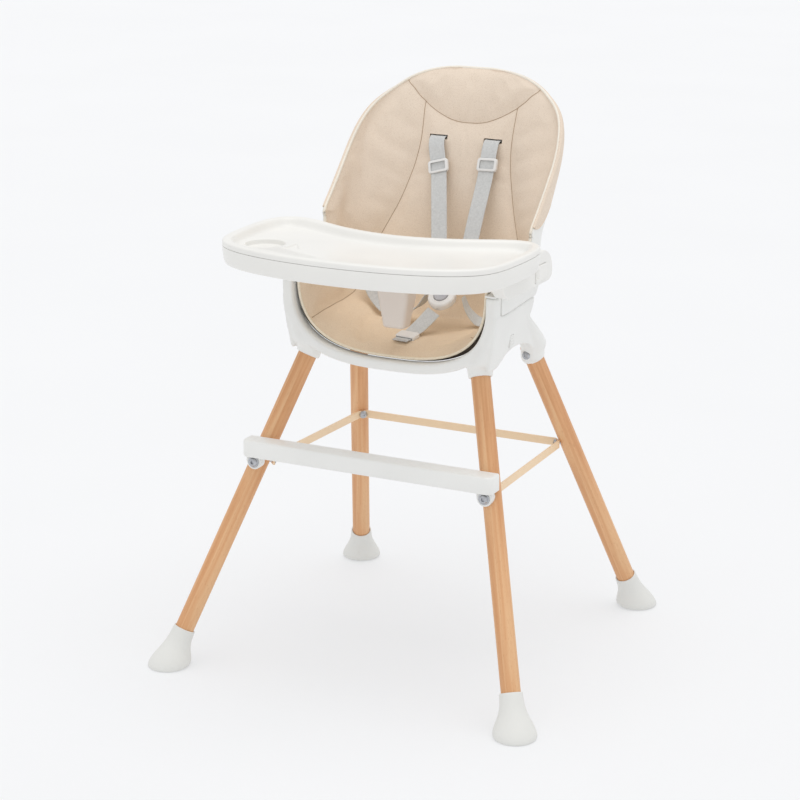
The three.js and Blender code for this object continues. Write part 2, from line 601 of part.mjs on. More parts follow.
function trayArm(side) {
  const outline = [[-150, 637], [-138, 612], [-122, 599], [-104, 597], [26, 597], [36, 602], [39, 612],
    [36, 626], [27, 640], [10, 647], [-30, 648], [-60, 645], [-150, 645]];
  return join(plate(outline, side * ARM.inner, side * ARM.outer),
    plate([[-108, 600.8], [-24, 601.8], [-24, 607.5], [-108, 606.5]], side * 166, side * (ARM.inner + 1)),
  );
}
function buttonBox(side, slack, reach) {
  const xs = [side * (ARM.outer + 2.2 - reach), side * (ARM.outer + 2.2)].sort((a, b) => a - b);
  const half = [BUTTON.length / 2 + slack, BUTTON.height / 2 + slack];
  return box([xs[0], BUTTON.y - half[0], BUTTON.z - half[1]], [xs[1], BUTTON.y + half[0], BUTTON.z + half[1]]);
}
function trayBase() {
  const { bottom, deck, split, wall } = TRAY;
  let whole = cut(join(traySlab(0, bottom, split)),
    traySlab(wall, bottom - 1, deck), traySlab(wall, deck + 4, split + 1));
  for (const [, side] of SIDES) {
    const above = traySlab(-GAP, split, 700);
    const inside = traySlab(wall, deck + 4, split + 1);
    const arm = cut(trayArm(side), above, inside);
    const pocket = buttonBox(side, 0.5, BUTTON.reach + 5);
    whole = cut(whole.add(arm), pocket);
  }
  return geometryOf(whole);
}
add('tray_base', trayBase(), plastic());

function trayLiner() {
  const { deck, split, top, wall } = TRAY;
  const whole = join(traySlab(0, split + GAP, top), traySlab(wall + 0.5, deck + 4 + GAP, split + 1));
  return geometryOf(cut(whole, traySlab(15, top - 12, top + 1), trayWell(CUP.floor)));
}
add('tray_liner', trayLiner(), plastic());

for (const [sideName, side] of SIDES) {
  add(`tray_release_${sideName}`, buttonBox(side, 0, BUTTON.reach), plastic());
}

function crotchGuard() {
  const half = [[527, 18, -97, -70], [545, 20.5, -98.5, -68], [580, 26, -100, -64], [632.4, 27, -104, -66]];
  const rings = half.map(([z, w, front, back]) => {
    const c = 6;
    return [[w - c, front], [w, front + c], [w, back - c], [w - c, back],
      [-w + c, back], [-w, back - c], [-w, front + c], [-w + c, front]].map(([x, y]) => v3(x, y, z));
  });
  const flange = box([-24, -150, 628], [24, -94, TRAY.deck - GAP]);
  return geometryOf(join(loft(rings), flange));
}
add('crotch_guard', crotchGuard(), finish(0xe6e3e2, 0.4));

export default chair;
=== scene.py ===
"""Looks for the baby high chair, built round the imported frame. Metres, +Z up, facing -Y."""
import math

import bmesh
import bpy
import numpy as np
from mathutils import Matrix, Vector
from mathutils.bvhtree import BVHTree

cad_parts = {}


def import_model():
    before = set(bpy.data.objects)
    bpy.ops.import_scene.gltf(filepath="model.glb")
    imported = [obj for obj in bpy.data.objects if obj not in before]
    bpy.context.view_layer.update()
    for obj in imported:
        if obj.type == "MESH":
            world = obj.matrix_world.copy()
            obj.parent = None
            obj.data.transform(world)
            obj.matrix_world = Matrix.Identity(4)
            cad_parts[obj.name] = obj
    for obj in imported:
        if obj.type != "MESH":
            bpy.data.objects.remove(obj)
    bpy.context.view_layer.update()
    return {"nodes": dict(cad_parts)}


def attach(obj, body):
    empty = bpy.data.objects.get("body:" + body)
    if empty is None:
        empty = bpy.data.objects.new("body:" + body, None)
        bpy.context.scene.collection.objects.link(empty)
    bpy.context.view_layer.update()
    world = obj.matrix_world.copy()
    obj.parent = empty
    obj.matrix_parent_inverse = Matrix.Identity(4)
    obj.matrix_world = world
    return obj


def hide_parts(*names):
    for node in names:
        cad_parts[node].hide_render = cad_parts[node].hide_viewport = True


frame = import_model()
NODES = frame["nodes"]
MM = 0.001
SIDES = (("left", 1), ("right", -1))


# ---------------------------------------------------------------- materials
def linear(rgb):
    """An 0-255 sRGB colour as linear values."""
    c = np.array(rgb, float) / 255
    c = np.where(c <= 0.04045, c / 12.92, ((c + 0.055) / 1.055) ** 2.4)
    return (*[float(x) for x in c], 1.0)


class Shader:
    """A principled material with helpers that add procedural nodes."""

    def __init__(self, name, roughness=0.5, metallic=0.0, specular=0.5):
        self.material = bpy.data.materials.new(name)
        self.material.use_nodes = True
        self.tree = self.material.node_tree
        self.bsdf = self.tree.nodes["Principled BSDF"]
        self.bsdf.inputs["Roughness"].default_value = roughness
        self.bsdf.inputs["Metallic"].default_value = metallic
        self.bsdf.inputs["Specular IOR Level"].default_value = specular
        self.coordinates = self.tree.nodes.new("ShaderNodeTexCoord").outputs["Object"]

    def node(self, kind, **values):
        node = self.tree.nodes.new(kind)
        for key, value in values.items():
            if key in node.inputs:
                node.inputs[key].default_value = value
            else:
                setattr(node, key, value)
        return node

    def link(self, a, b):
        self.tree.links.new(a, b)

    def stretched(self, scale):
        node = self.node("ShaderNodeMapping")
        node.inputs["Scale"].default_value = scale
        self.link(self.coordinates, node.inputs["Vector"])
        return node.outputs["Vector"]

    def noise(self, scale, detail=3.0, distortion=0.0, vector=None):
        node = self.node("ShaderNodeTexNoise", Scale=scale, Detail=detail, Distortion=distortion)
        self.link(vector or self.coordinates, node.inputs["Vector"])
        return node.outputs["Fac"]

    def cell_edges(self, scale):
        node = self.node("ShaderNodeTexVoronoi", feature="DISTANCE_TO_EDGE", Scale=scale)
        self.link(self.coordinates, node.inputs["Vector"])
        return node.outputs["Distance"]

    def ramp(self, source, stops):
        node = self.node("ShaderNodeValToRGB")
        ends = node.color_ramp.elements
        for i, (position, colour) in enumerate(stops):
            stop = ends[i] if i < 2 else ends.new(position)
            stop.position, stop.color = position, colour
        self.link(source, node.inputs["Fac"])
        return node.outputs["Color"]

    def mix(self, factor, a, b, kind="MIX"):
        node = self.node("ShaderNodeMix", data_type="RGBA", blend_type=kind)
        for value, index in ((factor, 0), (a, 6), (b, 7)):
            target = node.inputs[index]
            if isinstance(value, (int, float, tuple)):
                target.default_value = value
            else:
                self.link(value, target)
        return node.outputs[2]

    def scaled(self, source, low, high):
        node = self.node("ShaderNodeMapRange")
        node.inputs["To Min"].default_value = low
        node.inputs["To Max"].default_value = high
        self.link(source, node.inputs["Value"])
        return node.outputs["Result"]

    def colour(self, source):
        self.link(source, self.bsdf.inputs["Base Color"])

    def rough(self, source):
        self.link(source, self.bsdf.inputs["Roughness"])

    def bump(self, layers):
        """Bumps stacked one on another: (height, distance in metres)."""
        last = None
        for height, distance in layers:
            node = self.node("ShaderNodeBump", Strength=1.0, Distance=distance)
            self.link(height, node.inputs["Height"])
            if last:
                self.link(last, node.inputs["Normal"])
            last = node.outputs["Normal"]
        self.link(last, self.bsdf.inputs["Normal"])


def tint(rgb, gain):
    return linear([min(255, c * gain) for c in rgb])


def plastic(name, rgb, roughness=0.38, grain=900, depth=0.00002):
    s = Shader(name, roughness)
    s.colour(s.ramp(s.noise(9, 2), [(0.3, tint(rgb, 0.985)), (0.7, tint(rgb, 1.008))]))
    s.rough(s.scaled(s.noise(55, 4), roughness - 0.06, roughness + 0.08))
    s.bump([(s.noise(grain, 2), depth), (s.noise(60, 1), 0.00006)])
    return s.material


def beech_wood():
    s = Shader("beech_wood", 0.5)
    along = s.stretched((1, 1, 0.035))
    grain = s.ramp(s.noise(120, 6, 0.8, along),
                   [(0.28, linear((222, 162, 112))), (0.72, linear((246, 204, 158))),
                    (0.5, linear((236, 184, 136)))])
    tone = s.ramp(s.noise(5, 2, 0.3, s.stretched((1, 1, 0.5))),
                  [(0.3, linear((228, 221, 215))), (0.7, linear((255, 252, 248)))])
    fleck = s.ramp(s.noise(1100, 2, 0.0, s.stretched((1, 1, 0.14))),
                   [(0.60, (0, 0, 0, 1)), (0.70, (1, 1, 1, 1))])
    base = s.mix(1.0, grain, tone, "MULTIPLY")
    flecked = s.mix(s.scaled(fleck, 0.0, 0.34), base, linear((186, 124, 78)))
    s.colour(flecked)
    s.rough(s.scaled(s.noise(160, 3, 0.2, along), 0.42, 0.6))
    s.bump([(s.noise(240, 4, 0.4, along), 0.00007), (s.noise(1500, 2, 0, along), 0.00003)])
    return s.material


def leather(name, rgb, roughness=0.5):
    s = Shader(name, roughness, specular=0.42)
    tone = s.ramp(s.noise(14, 4, 0.4), [(0.3, tint(rgb, 0.985)), (0.7, tint(rgb, 1.01))])
    # painted shade: the leather's colour darkens along the grain's cell edges, in the creases of its bump
    painted_crease_shade = s.ramp(s.cell_edges(620), [(0.0, linear((222, 214, 206))), (0.16, (1, 1, 1, 1))])
    # painted shade: the colour turns warmer and darker towards the bottom of the seat (object Z below 0.7 m),
    # standing in for light bounced inside the seat
    height = s.node("ShaderNodeSeparateXYZ")
    s.link(s.coordinates, height.inputs["Vector"])
    painted_low_shade = s.ramp(height.outputs["Z"], [(0.5, (1.0, 0.94, 0.83, 1)), (0.7, (1, 1, 1, 1))])
    s.colour(s.mix(1.0, s.mix(0.55, tone, painted_crease_shade, "MULTIPLY"), painted_low_shade, "MULTIPLY"))
    s.rough(s.scaled(s.noise(220, 4), roughness - 0.08, roughness + 0.12))
    grain = s.ramp(s.cell_edges(620), [(0.0, (0, 0, 0, 1)), (0.3, (1, 1, 1, 1))])
    s.bump([(grain, 0.00009), (s.noise(1900, 2), 0.00004), (s.noise(45, 3, 0.6), 0.0002)])
    return s.material


def woven(name, rgb, pitch=0.0013, depth=0.00012):
    """Webbing: ribs across and a warp along, in metres of its own UV map."""
    s = Shader(name, 0.85, specular=0.2)
    uv = s.node("ShaderNodeUVMap", uv_map="weave").outputs["UV"]

    def wave(direction, step):
        node = s.node("ShaderNodeTexWave", wave_type="BANDS", bands_direction=direction,
                      Scale=math.tau / (20 * step), Distortion=0.35, Detail=1.0)
        node.inputs["Detail Scale"].default_value = 1.0
        s.link(uv, node.inputs["Vector"])
        return node.outputs["Fac"]

    ribs, warp = wave("Y", pitch), wave("X", pitch * 0.9)
    cloth = s.node("ShaderNodeMath", operation="MULTIPLY")
    s.link(ribs, cloth.inputs[0])
    s.link(warp, cloth.inputs[1])
    shade = s.ramp(cloth.outputs[0], [(0.0, tint(rgb, 0.80)), (0.55, tint(rgb, 1.03))])
    s.colour(s.mix(0.5, shade, s.ramp(s.noise(300, 3), [(0.3, tint(rgb, 0.93)), (0.7, tint(rgb, 1.04))])))
    s.rough(s.scaled(s.noise(900, 2), 0.75, 0.95))
    s.bump([(cloth.outputs[0], depth), (s.noise(3000, 2), 0.00004)])
    return s.material


def brushed(name, rgb):
    s = Shader(name, 0.3, metallic=1.0)
    s.colour(s.ramp(s.noise(300, 3), [(0.3, tint(rgb, 0.94)), (0.7, tint(rgb, 1.03))]))
    s.rough(s.scaled(s.noise(900, 4), 0.22, 0.42))
    s.bump([(s.noise(1600, 3), 0.00002)])
    return s.material


WHITE = plastic("white_plastic", (241, 241, 238), 0.36)
TRAY_WHITE = plastic("tray_plastic", (241, 240, 236), 0.3)
BOOT = plastic("foot_plastic", (229, 229, 225), 0.55, 1400, 0.00004)
GUARD = plastic("guard_plastic", (225, 214, 204), 0.42)
BUCKLE_WHITE = plastic("buckle_plastic", (232, 231, 229), 0.34)
BUTTON_GREY = plastic("button_plastic", (178, 178, 182), 0.45)
BRACE_PAINT = plastic("brace_paint", (246, 218, 182), 0.42, 1600, 0.00004)
BEECH = beech_wood()
LEATHER = leather("cover_leather", (240, 224, 206))
PIPING = leather("piping_leather", (250, 244, 232), 0.45)
THREAD = woven("seam_thread", (196, 168, 138), 0.0006, 0.00006)
WEBBING = woven("webbing", (218, 219, 218))
# painted shade: a dark brown sheet that stands in for the deep shadow in the slit at the seat's front edge
GAP_SHADE_PAINT = plastic("painted_gap_shade", (70, 58, 48), 0.7, 1500, 0.00005)
STEEL = brushed("screw_steel", (188, 190, 194))


# ---------------------------------------------------------------- mesh helpers
def obj(name, verts, faces, material=None, smooth=38):
    """A mesh object from millimetre points, with its faces turned out."""
    mesh = bpy.data.meshes.new(name)
    mesh.from_pydata([tuple(v) for v in np.asarray(verts, float) * MM], [], faces)
    o = bpy.data.objects.new(name, mesh)
    bpy.context.scene.collection.objects.link(o)
    bm = bmesh.new()
    bm.from_mesh(mesh)
    bmesh.ops.recalc_face_normals(bm, faces=bm.faces)
    bm.to_mesh(mesh)
    bm.free()
    if material:
        mesh.materials.append(material)
    soften(o, smooth)
    return o


def cutter(mesh):
    """A body that `combine` uses up."""
    return obj("tool", *mesh)


def soften(o, angle=38):
    """Smooth shading with the sharp edges kept."""
    o.data.polygons.foreach_set("use_smooth", [True] * len(o.data.polygons))
    o.data.set_sharp_from_angle(angle=math.radians(angle))


def modify(o, kind, **settings):
    m = o.modifiers.new(kind.lower(), kind)
    for key, value in settings.items():
        setattr(m, key, value)


def bake(o):
    """The object's modifiers, applied."""
    graph = bpy.context.evaluated_depsgraph_get()
    mesh = bpy.data.meshes.new_from_object(o.evaluated_get(graph))
    o.modifiers.clear()
    o.data = mesh


def bevel(o, width, segments=3, angle=32):
    modify(o, "BEVEL", width=width * MM, segments=segments, limit_method="ANGLE",
           angle_limit=math.radians(angle), miter_outer="MITER_ARC", use_clamp_overlap=True)
    bake(o)
    soften(o)
    return o


def paint(o, material, angle=None):
    """One material over the whole piece, and smooth shading if an angle is given."""
    o.data.materials.clear()
    o.data.materials.append(material)
    if angle:
        soften(o, angle)


def combine(o, tool, operation="DIFFERENCE"):
    modify(o, "BOOLEAN", object=tool, operation=operation, solver="EXACT")
    bake(o)
    bpy.data.objects.remove(tool)
    return o


def merged(name, parts):
    """Several objects as one mesh, unjoined."""
    bm = bmesh.new()
    for o in parts:
        o.data.transform(o.matrix_world)
        bm.from_mesh(o.data)
        bpy.data.objects.remove(o)
    mesh = bpy.data.meshes.new(name)
    bm.to_mesh(mesh)
    bm.free()
    whole = bpy.data.objects.new(name, mesh)
    bpy.context.scene.collection.objects.link(whole)
    return whole


def vectors(o, what):
    """One vector for each vertex: its "co" or its "normal"."""
    values = np.empty(len(o.data.vertices) * 3, np.float32)
    o.data.vertices.foreach_get(what, values)
    return values.reshape(-1, 3)


def coordinates(o):
    return vectors(o, "co").astype(float) / MM


def set_coordinates(o, points):
    o.data.vertices.foreach_set("co", (np.asarray(points) * MM).astype(np.float32).ravel())
    o.data.update()


def place(o, body, slot, *nodes):
    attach(o, body)
    if nodes:
        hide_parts(*nodes)


def unit(v):
    v = np.asarray(v, float)
    return v / np.maximum(np.linalg.norm(v, axis=-1, keepdims=True), 1e-12)


def stand(x, y, z, at):
    """The transform that turns a piece's own axes to x, y and z and takes its origin to a point."""
    turn = Matrix([[*row, 0] for row in zip(x, y, z)] + [[0, 0, 0, 1]])
    return Matrix.Translation(Vector(np.asarray(at) * MM)) @ turn


def loft(rings, caps=True):
    """A skin over rings of equal length, with its two ends closed."""
    rings = [np.asarray(r, float) for r in rings]
    n = len(rings[0])
    faces = []
    for r in range(len(rings) - 1):
        for i in range(n):
            j = (i + 1) % n
            faces.append((r * n + i, r * n + j, (r + 1) * n + j, (r + 1) * n + i))
    if caps:
        faces.append(tuple(range(n - 1, -1, -1)))
        faces.append(tuple((len(rings) - 1) * n + i for i in range(n)))
    return np.concatenate(rings), faces


def ring(centre, normal, radius, sides=48):
    n = unit(normal)
    helper = np.array([1.0, 0, 0]) if abs(n[1]) > 0.9 else np.array([0, 1.0, 0])
    u = unit(np.cross(helper, n))
    w = np.cross(n, u)
    a = np.linspace(0, math.tau, sides, endpoint=False)[:, None]
    return np.asarray(centre) + radius * (np.cos(a) * u + np.sin(a) * w)


def turned(start, direction, stations, sides=48):
    d = unit(direction)
    return loft([ring(np.asarray(start) + t * d, d, r, sides) for t, r in stations])


def block(low, high):
    (x0, y0, z0), (x1, y1, z1) = np.minimum(low, high), np.maximum(low, high)
    base = [(x0, y0), (x1, y0), (x1, y1), (x0, y1)]
    return loft([[(x, y, z) for x, y in base] for z in (z0, z1)])


def spline(points, count):
    """A centripetal Catmull-Rom curve through the points, in `count` points."""
    p = np.asarray(points, float)
    ends = np.vstack([2 * p[0] - p[1], p, 2 * p[-1] - p[-2]])
    t = np.linspace(0, 1, count) * (len(p) - 1)
    k = np.minimum(t.astype(int), len(p) - 2)
    f = (t - k)[:, None]
    a, b, c, d = (ends[k + i] for i in range(4))
    d0, d1, d2 = (np.maximum(np.linalg.norm(v, axis=1, keepdims=True) ** 0.5, 1e-4)
                  for v in (b - a, c - b, d - c))
    m1 = ((b - a) / d0 - (c - a) / (d0 + d1) + (c - b) / d1) * d1
    m2 = ((c - b) / d1 - (d - b) / (d1 + d2) + (d - c) / d2) * d1
    return ((2 * f**3 - 3 * f**2 + 1) * b + (f**3 - 2 * f**2 + f) * m1
            + (3 * f**2 - 2 * f**3) * c + (f**3 - f**2) * m2)


def run(points):
    """The length along a polyline at each of its points."""
    return np.concatenate([[0], np.cumsum(np.linalg.norm(np.diff(points, axis=0), axis=1))])


def even(points, count, closed=False):
    """The polyline resampled to `count` points evenly along it."""
    p = np.asarray(points, float)
    if closed:
        p = np.vstack([p, p[:1]])
    length = run(p)
    at = np.linspace(0, length[-1], count, endpoint=not closed)
    return np.stack([np.interp(at, length, p[:, k]) for k in range(p.shape[1])], 1)


def smooth_loop(points, count):
    """A closed smooth curve through the points."""
    p = np.asarray(points, float)
    ring3 = np.vstack([p[-3:], p, p[:3]])
    fine = spline(ring3, 40 * len(ring3))
    k = 40 * len(ring3) / (len(ring3) - 1)
    return even(fine[int(3 * k):int((3 + len(p)) * k)], count, True)


def sweep(path, across, up, profile, closed=False):
    """A closed profile of (across, up) offsets carried along a path."""
    rings = [path[i] + profile[:, :1] * across[i] + profile[:, 1:] * up[i] for i in range(len(path))]
    if closed:
        rings.append(rings[0])
    verts, faces = loft(rings, not closed)
    if closed:
        n, last = len(profile), (len(rings) - 1) * len(profile)
        verts = verts[:last]
        faces = [tuple(v - last if v >= last else v for v in f) for f in faces]
    return verts, faces


def arcs(corners, count):
    """Quarter turns one after another, from each centre, radius and starting angle in degrees."""
    points = []
    for x, y, radius, start in corners:
        for k in range(count + 1):
            a = math.radians(start + 90 * k / count)
            points.append((x + radius * math.cos(a), y + radius * math.sin(a)))
    return np.array(points)


def round_profile(width, height, radius, corner=5):
    """A rounded rectangle about the origin."""
    x, y = width / 2 - radius, height / 2 - radius
    return arcs([(x, y, radius, 0), (-x, y, radius, 90), (-x, -y, radius, 180), (x, -y, radius, 270)], corner)


def at_height(outline, z):
    return np.column_stack([outline, np.full(len(outline), z)])


def circle(radius, sides):
    a = np.linspace(0, math.tau, sides, endpoint=False)
    return np.stack([radius * np.cos(a), radius * np.sin(a)], 1)


# ---------------------------------------------------------------- camera, floor and light
def look(location, target):
    return (Vector(target) - Vector(location)).to_track_quat("-Z", "Y").to_euler()


camera_data = bpy.data.cameras.new("camera")
camera_data.lens, camera_data.sensor_width = 104.7, 36
camera_data.clip_end = 100
camera = bpy.data.objects.new("camera", camera_data)
camera.location = (1.5359, -3.0897, 1.4051)
camera.rotation_euler = look(camera.location, (-0.0293, -0.0149, 0.3908))
bpy.context.scene.collection.objects.link(camera)
bpy.context.scene.camera = camera
bpy.context.scene.view_settings.view_transform = "Standard"

world = bpy.data.worlds.new("studio")
world.use_nodes = True
world.node_tree.nodes["Background"].inputs["Color"].default_value = (0.985, 0.99, 1.0, 1)
world.node_tree.nodes["Background"].inputs["Strength"].default_value = 0.78
bpy.context.scene.world = world
sun_data = bpy.data.lights.new("key", "SUN")
sun_data.energy, sun_data.angle, sun_data.color = 1.0, math.radians(60), (1.0, 0.985, 0.965)
sun = bpy.data.objects.new("key", sun_data)
sun.rotation_euler = look((0.1, -0.05, 0.99), (0, 0, 0))
bpy.context.scene.collection.objects.link(sun)

floor_shader = Shader("studio_floor", 0.75, specular=0.2)
floor_shader.colour(floor_shader.ramp(floor_shader.noise(1.5, 2), [(0.3, (0.5, 0.505, 0.513, 1)),
                                                                    (0.7, (0.51, 0.515, 0.523, 1))]))
floor_shader.bsdf.inputs["Emission Color"].default_value = (0.94, 0.946, 0.958, 1)
floor_shader.bsdf.inputs["Emission Strength"].default_value = 0.4
floor = obj("studio_floor", [(-3e4, -3e4, -0.2), (3e4, -3e4, -0.2), (3e4, 3e4, -0.2), (-3e4, 3e4, -0.2)],
            [(0, 1, 2, 3)], floor_shader.material)


# ---------------------------------------------------------------- legs and feet
LEG_RADIUS = 14.5
LEG_START = 14                   # height of the leg's lower end inside its boot
LEGS = {
    "front": {"foot": (293.5, -285.2), "mouth": (146, -97.1, 470), "top": 489},
    "rear": {"foot": (257.3, 285.2), "mouth": (152.7, 82.3, 458), "top": 479},
}


def leg_line(end, side):
    foot, mouth = LEGS[end]["foot"], LEGS[end]["mouth"]
    floor_point = np.array([side * foot[0], foot[1], 0.0])
    direction = unit(np.array([side * mouth[0], mouth[1], mouth[2]]) - floor_point)
    return direction, lambda z: floor_point + direction * z / direction[2]


def boot_rings(direction, at):
    """The boot's outside from the sole up to its collar, then down inside the collar."""
    flare = [(0, 27.5), (0.3, 29.6), (1.3, 31.2), (3, 32.1), (6, 32.2), (9, 31.6), (12, 30.5), (17, 28.2),
             (22, 25.6), (27, 23.1), (32, 21.0), (37, 19.4), (42, 18.3), (48, 17.6), (53, 17.3),
             (55.8, 17.2), (56.8, 16.9), (57.2, 16.2), (57.0, 15.3), (56.0, 14.9), (48, 14.9)]
    rings = []
    for z, r in flare:
        normal = (1 - z / 57) * np.array([0, 0, 1.0]) + z / 57 * direction
        rings.append(ring(at(z), normal, r, 56))
    return loft(rings)


for end in LEGS:
    for side_name, side in SIDES:
        direction, at = leg_line(end, side)
        top = LEGS[end]["top"]
        length = (top - LEG_START) / direction[2]
        stations = [(0, 13.4), (0.9, LEG_RADIUS), *[(length * k / 24, LEG_RADIUS) for k in range(1, 24)],
                    (length - 0.9, LEG_RADIUS), (length, 13.4)]
        leg = obj(f"beech_leg_{end}_{side_name}", *turned((0, 0, 0), (0, 0, 1), stations, 56), BEECH)
        across = np.cross((0, 1, 0), direction)
        leg.matrix_world = stand(unit(across), unit(np.cross(direction, across)), direction, at(LEG_START))
        place(leg, "base", "beech", f"leg_{end}_{side_name}")
        boot = obj(f"boot_{end}_{side_name}", *boot_rings(direction, at), BOOT, 50)
        place(boot, "base", "foot_plastic", f"foot_{end}_{side_name}")


# ---------------------------------------------------------------- screws
def screw_mesh(head, length, washer):
    """A domed screw along +Z with its seat at 0, and a hexagonal recess in its head."""
    rise = 3.4
    dome = [(-rise * math.cos(a), head * math.sin(a) ** 0.9) for a in np.linspace(0.12, 1.45, 12)]
    flat = [(-0.3, head), (0, head * 0.98)]
    if washer:
        dome = [(t - 1.0, r * 0.78) for t, r in dome]
        flat = [(-1.0, head * 0.76), (-1.0, head * 0.97), (-0.75, head), (-0.1, head)]
    body = obj("screw", *turned((0, 0, 0), (0, 0, 1), dome + flat + [(0, 2.5), (length, 2.5)], 40), STEEL)
    recess = turned((0, 0, -rise - 3), (0, 0, 1), [(0, head * 0.36), (4.4, head * 0.36)], 6)
    return combine(body, cutter(recess))


LUG_X, LUG_Z = 193.5, 315.0      # the footrest's screw eyes
BRACE_AT = {"front": (181.5, -146.0), "rear": (172.3, 132.5)}
screws = []
for end in LEGS:
    inward = 1 if end == "front" else -1
    for side_name, side in SIDES:
        along = np.array([0.0, -inward, 0])
        seat = leg_line(end, side)[1](LEGS[end]["mouth"][2] + 9) - 22 * along
        screws.append((f"socket_screw_{end}_{side_name}", seat, along, 6.5, 24))
        diagonal = unit([side, -inward, 0.0])
        seat = np.array([side * BRACE_AT[end][0], BRACE_AT[end][1], 309.0]) - 1.8 * diagonal
        screws.append((f"brace_screw_{end}_{side_name}", seat, diagonal, 6.5, 16))
for side_name, side in SIDES:
    seat = np.array([side * LUG_X, -184.3, LUG_Z])
    screws.append((f"footrest_screw_{side_name}", seat, (0, 1.0, 0), 9, 22))
for name, seat, along, head, length in screws:
    o = screw_mesh(head, length, head > 7)
    rotation = Vector((0, 0, 1)).rotation_difference(Vector(along)).to_matrix().to_4x4()
    o.data.transform(Matrix.Translation(Vector(seat) * MM) @ rotation)
    o.name = "steel_" + name
    soften(o, 30)
    place(o, "base", "screw_steel", name)


# ---------------------------------------------------------------- footrest
def inset_bar(z, inset):
    """The bar's outline at a height, drawn in from its outside."""
    r, rear = 12 - min(inset, 9), max(4 - inset, 0.6)
    half, front, back = 209.5 - inset, -195 + inset, -163 - inset
    corners = [(half - r, front + r, r, -90), (half - rear, back - rear, rear, 0),
               (-half + rear, back - rear, rear, 90), (-half + r, front + r, r, 180)]
    return at_height(arcs(corners, 14), z)


def footrest():
    skin = [inset_bar(325, 1.0), inset_bar(325.4, 0.3), inset_bar(326.2, 0), inset_bar(347.2, 0),
            inset_bar(348.9, 0.45), inset_bar(350.2, 1.5), inset_bar(350.8, 3), inset_bar(351, 5)]
    bar = obj("footrest_bar", *loft(skin), WHITE)
    hollow = cutter(loft([inset_bar(320, 3.5), inset_bar(346, 3.5), inset_bar(347.5, 5)]))
    combine(bar, hollow)
    for side in (1, -1):
        lug = turned((side * LUG_X, -184, LUG_Z), (0, 1, 0),
                     [(0, 11.2), (0.8, 12), (13.2, 12), (14, 11.2)], 40)
        web = block((side * LUG_X - 12, -184, LUG_Z), (side * LUG_X + 12, -176, 349))
        direction, at = leg_line("front", side)
        combine(bar, cutter(lug), "UNION")
        combine(bar, cutter(web), "UNION")
        combine(bar, cutter(loft([ring(at(z), direction, 15.1, 40) for z in (290, 380)])))
        combine(bar, cutter(turned((side * LUG_X, -200, LUG_Z), (0, 1, 0), [(0, 2.9), (40, 2.9)], 20)))
    soften(bar, 32)
    return bar


place(footrest(), "base", "white_plastic", "footrest")


# ---------------------------------------------------------------- the seat's surface
ROUND = 2.8                      # squareness of the seat's and the base's U
U_TOP = 590                      # height where the base's U turns straight
RECLINE = math.radians(16.2)
BACK_ORIGIN = np.array([112.0, 634.0])
UP = np.array([math.sin(RECLINE), math.cos(RECLINE)])
OUT = np.array([-math.cos(RECLINE), math.sin(RECLINE)])
BACKWARD = np.array([0, -OUT[0], -OUT[1]])
PAD, SHELL = 9.5, 3.0
FRONT_S, TOP_S = -301.7, 257.5
PAN = np.array([                 # centre (y, z), rim (y, z) and half-width
    (-104, 496, -104, 600, 147), (-62, 499, -72, 600.5, 147.5), (-18, 500, -40, 602, 149),
    (22, 501, -16, 606, 152), (50, 506, -2, 615, 156), (73, 522, 6, 630, 160),
    (86, 545, 10, 644, 162), (93.5, 572, 12.5, 655, 163.5), (103, 604, 14, 665, 164.5)])


def back_stations(s):
    s = np.asarray(s, float)
    lip = np.minimum(1, (258 - s) / 40)
    width = (174 - 9 * lip) * np.maximum(0, 1 - np.maximum(0, (s - 90) / 168) ** 2.6) ** (1 / 2.6)
    depth = 8 * lip + 96 * np.maximum(0, 1 - (s - 12) / 212) ** 1.25
    centre = BACK_ORIGIN + s[:, None] * UP
    return np.column_stack([centre, centre + depth[:, None] * OUT, width])


def make_table():
    """Stations of the whole seat against the length along its middle, which is 12 at the back's foot."""
    back = back_stations([12, 45, 80])
    rows = np.vstack([PAN, back])
    s = run(rows[:, :2])
    s += 12 - s[len(PAN)]
    slopes = np.gradient(rows, s, axis=0)
    return s, rows, slopes


TABLE_S, TABLE_ROWS, TABLE_SLOPES = make_table()


def stations(s):
    s = np.asarray(s, float)
    k = np.clip(np.searchsorted(TABLE_S, s, "right") - 1, 0, len(TABLE_S) - 2)
    h = (TABLE_S[k + 1] - TABLE_S[k])[:, None]
    f = np.clip((s - TABLE_S[k])[:, None] / h, 0, 1)
    pan = ((2 * f**3 - 3 * f**2 + 1) * TABLE_ROWS[k] + (f**3 - 2 * f**2 + f) * h * TABLE_SLOPES[k]
           + (3 * f**2 - 2 * f**3) * TABLE_ROWS[k + 1] + (f**3 - f**2) * h * TABLE_SLOPES[k + 1])
    return np.where(s[:, None] < 30, pan, back_stations(np.maximum(s, 12)))


def u_turn(angle):
    """Across and down on the U of the seat and the base, for angles from its middle."""
    reach = 2 / ROUND
    return np.sign(angle) * np.abs(np.sin(angle)) ** reach, np.maximum(0, np.cos(angle)) ** reach


def seat_points(s, angle):
    """Points of the surface for matching arrays of s and angle (radians from the middle)."""
    row = stations(np.ravel(s))
    across, down = u_turn(np.ravel(angle))
    yz = row[:, :2] + (1 - down)[:, None] * (row[:, 2:4] - row[:, :2])
    return np.column_stack([row[:, 4] * across, yz]).reshape(*np.shape(s), 3)


def even_angles(count):
    a = np.linspace(0, math.pi / 2, 4000)
    across, down = u_turn(a)
    length = run(np.column_stack([160 * across, 92 * (1 - down)]))
    half = np.interp(np.linspace(0, length[-1], count // 2 + 1), length, a)
    return np.concatenate([-half[:0:-1], half])


def even_rows(count, start=FRONT_S, end=TOP_S):
    s = np.linspace(start, end, 3000)
    width = stations(s)[:, 4]
    step = np.hypot(np.diff(s), 0.3 * np.diff(width))
    length = np.concatenate([[0], np.cumsum(step)])
    return np.interp(np.linspace(0, length[-1], count), length, s)


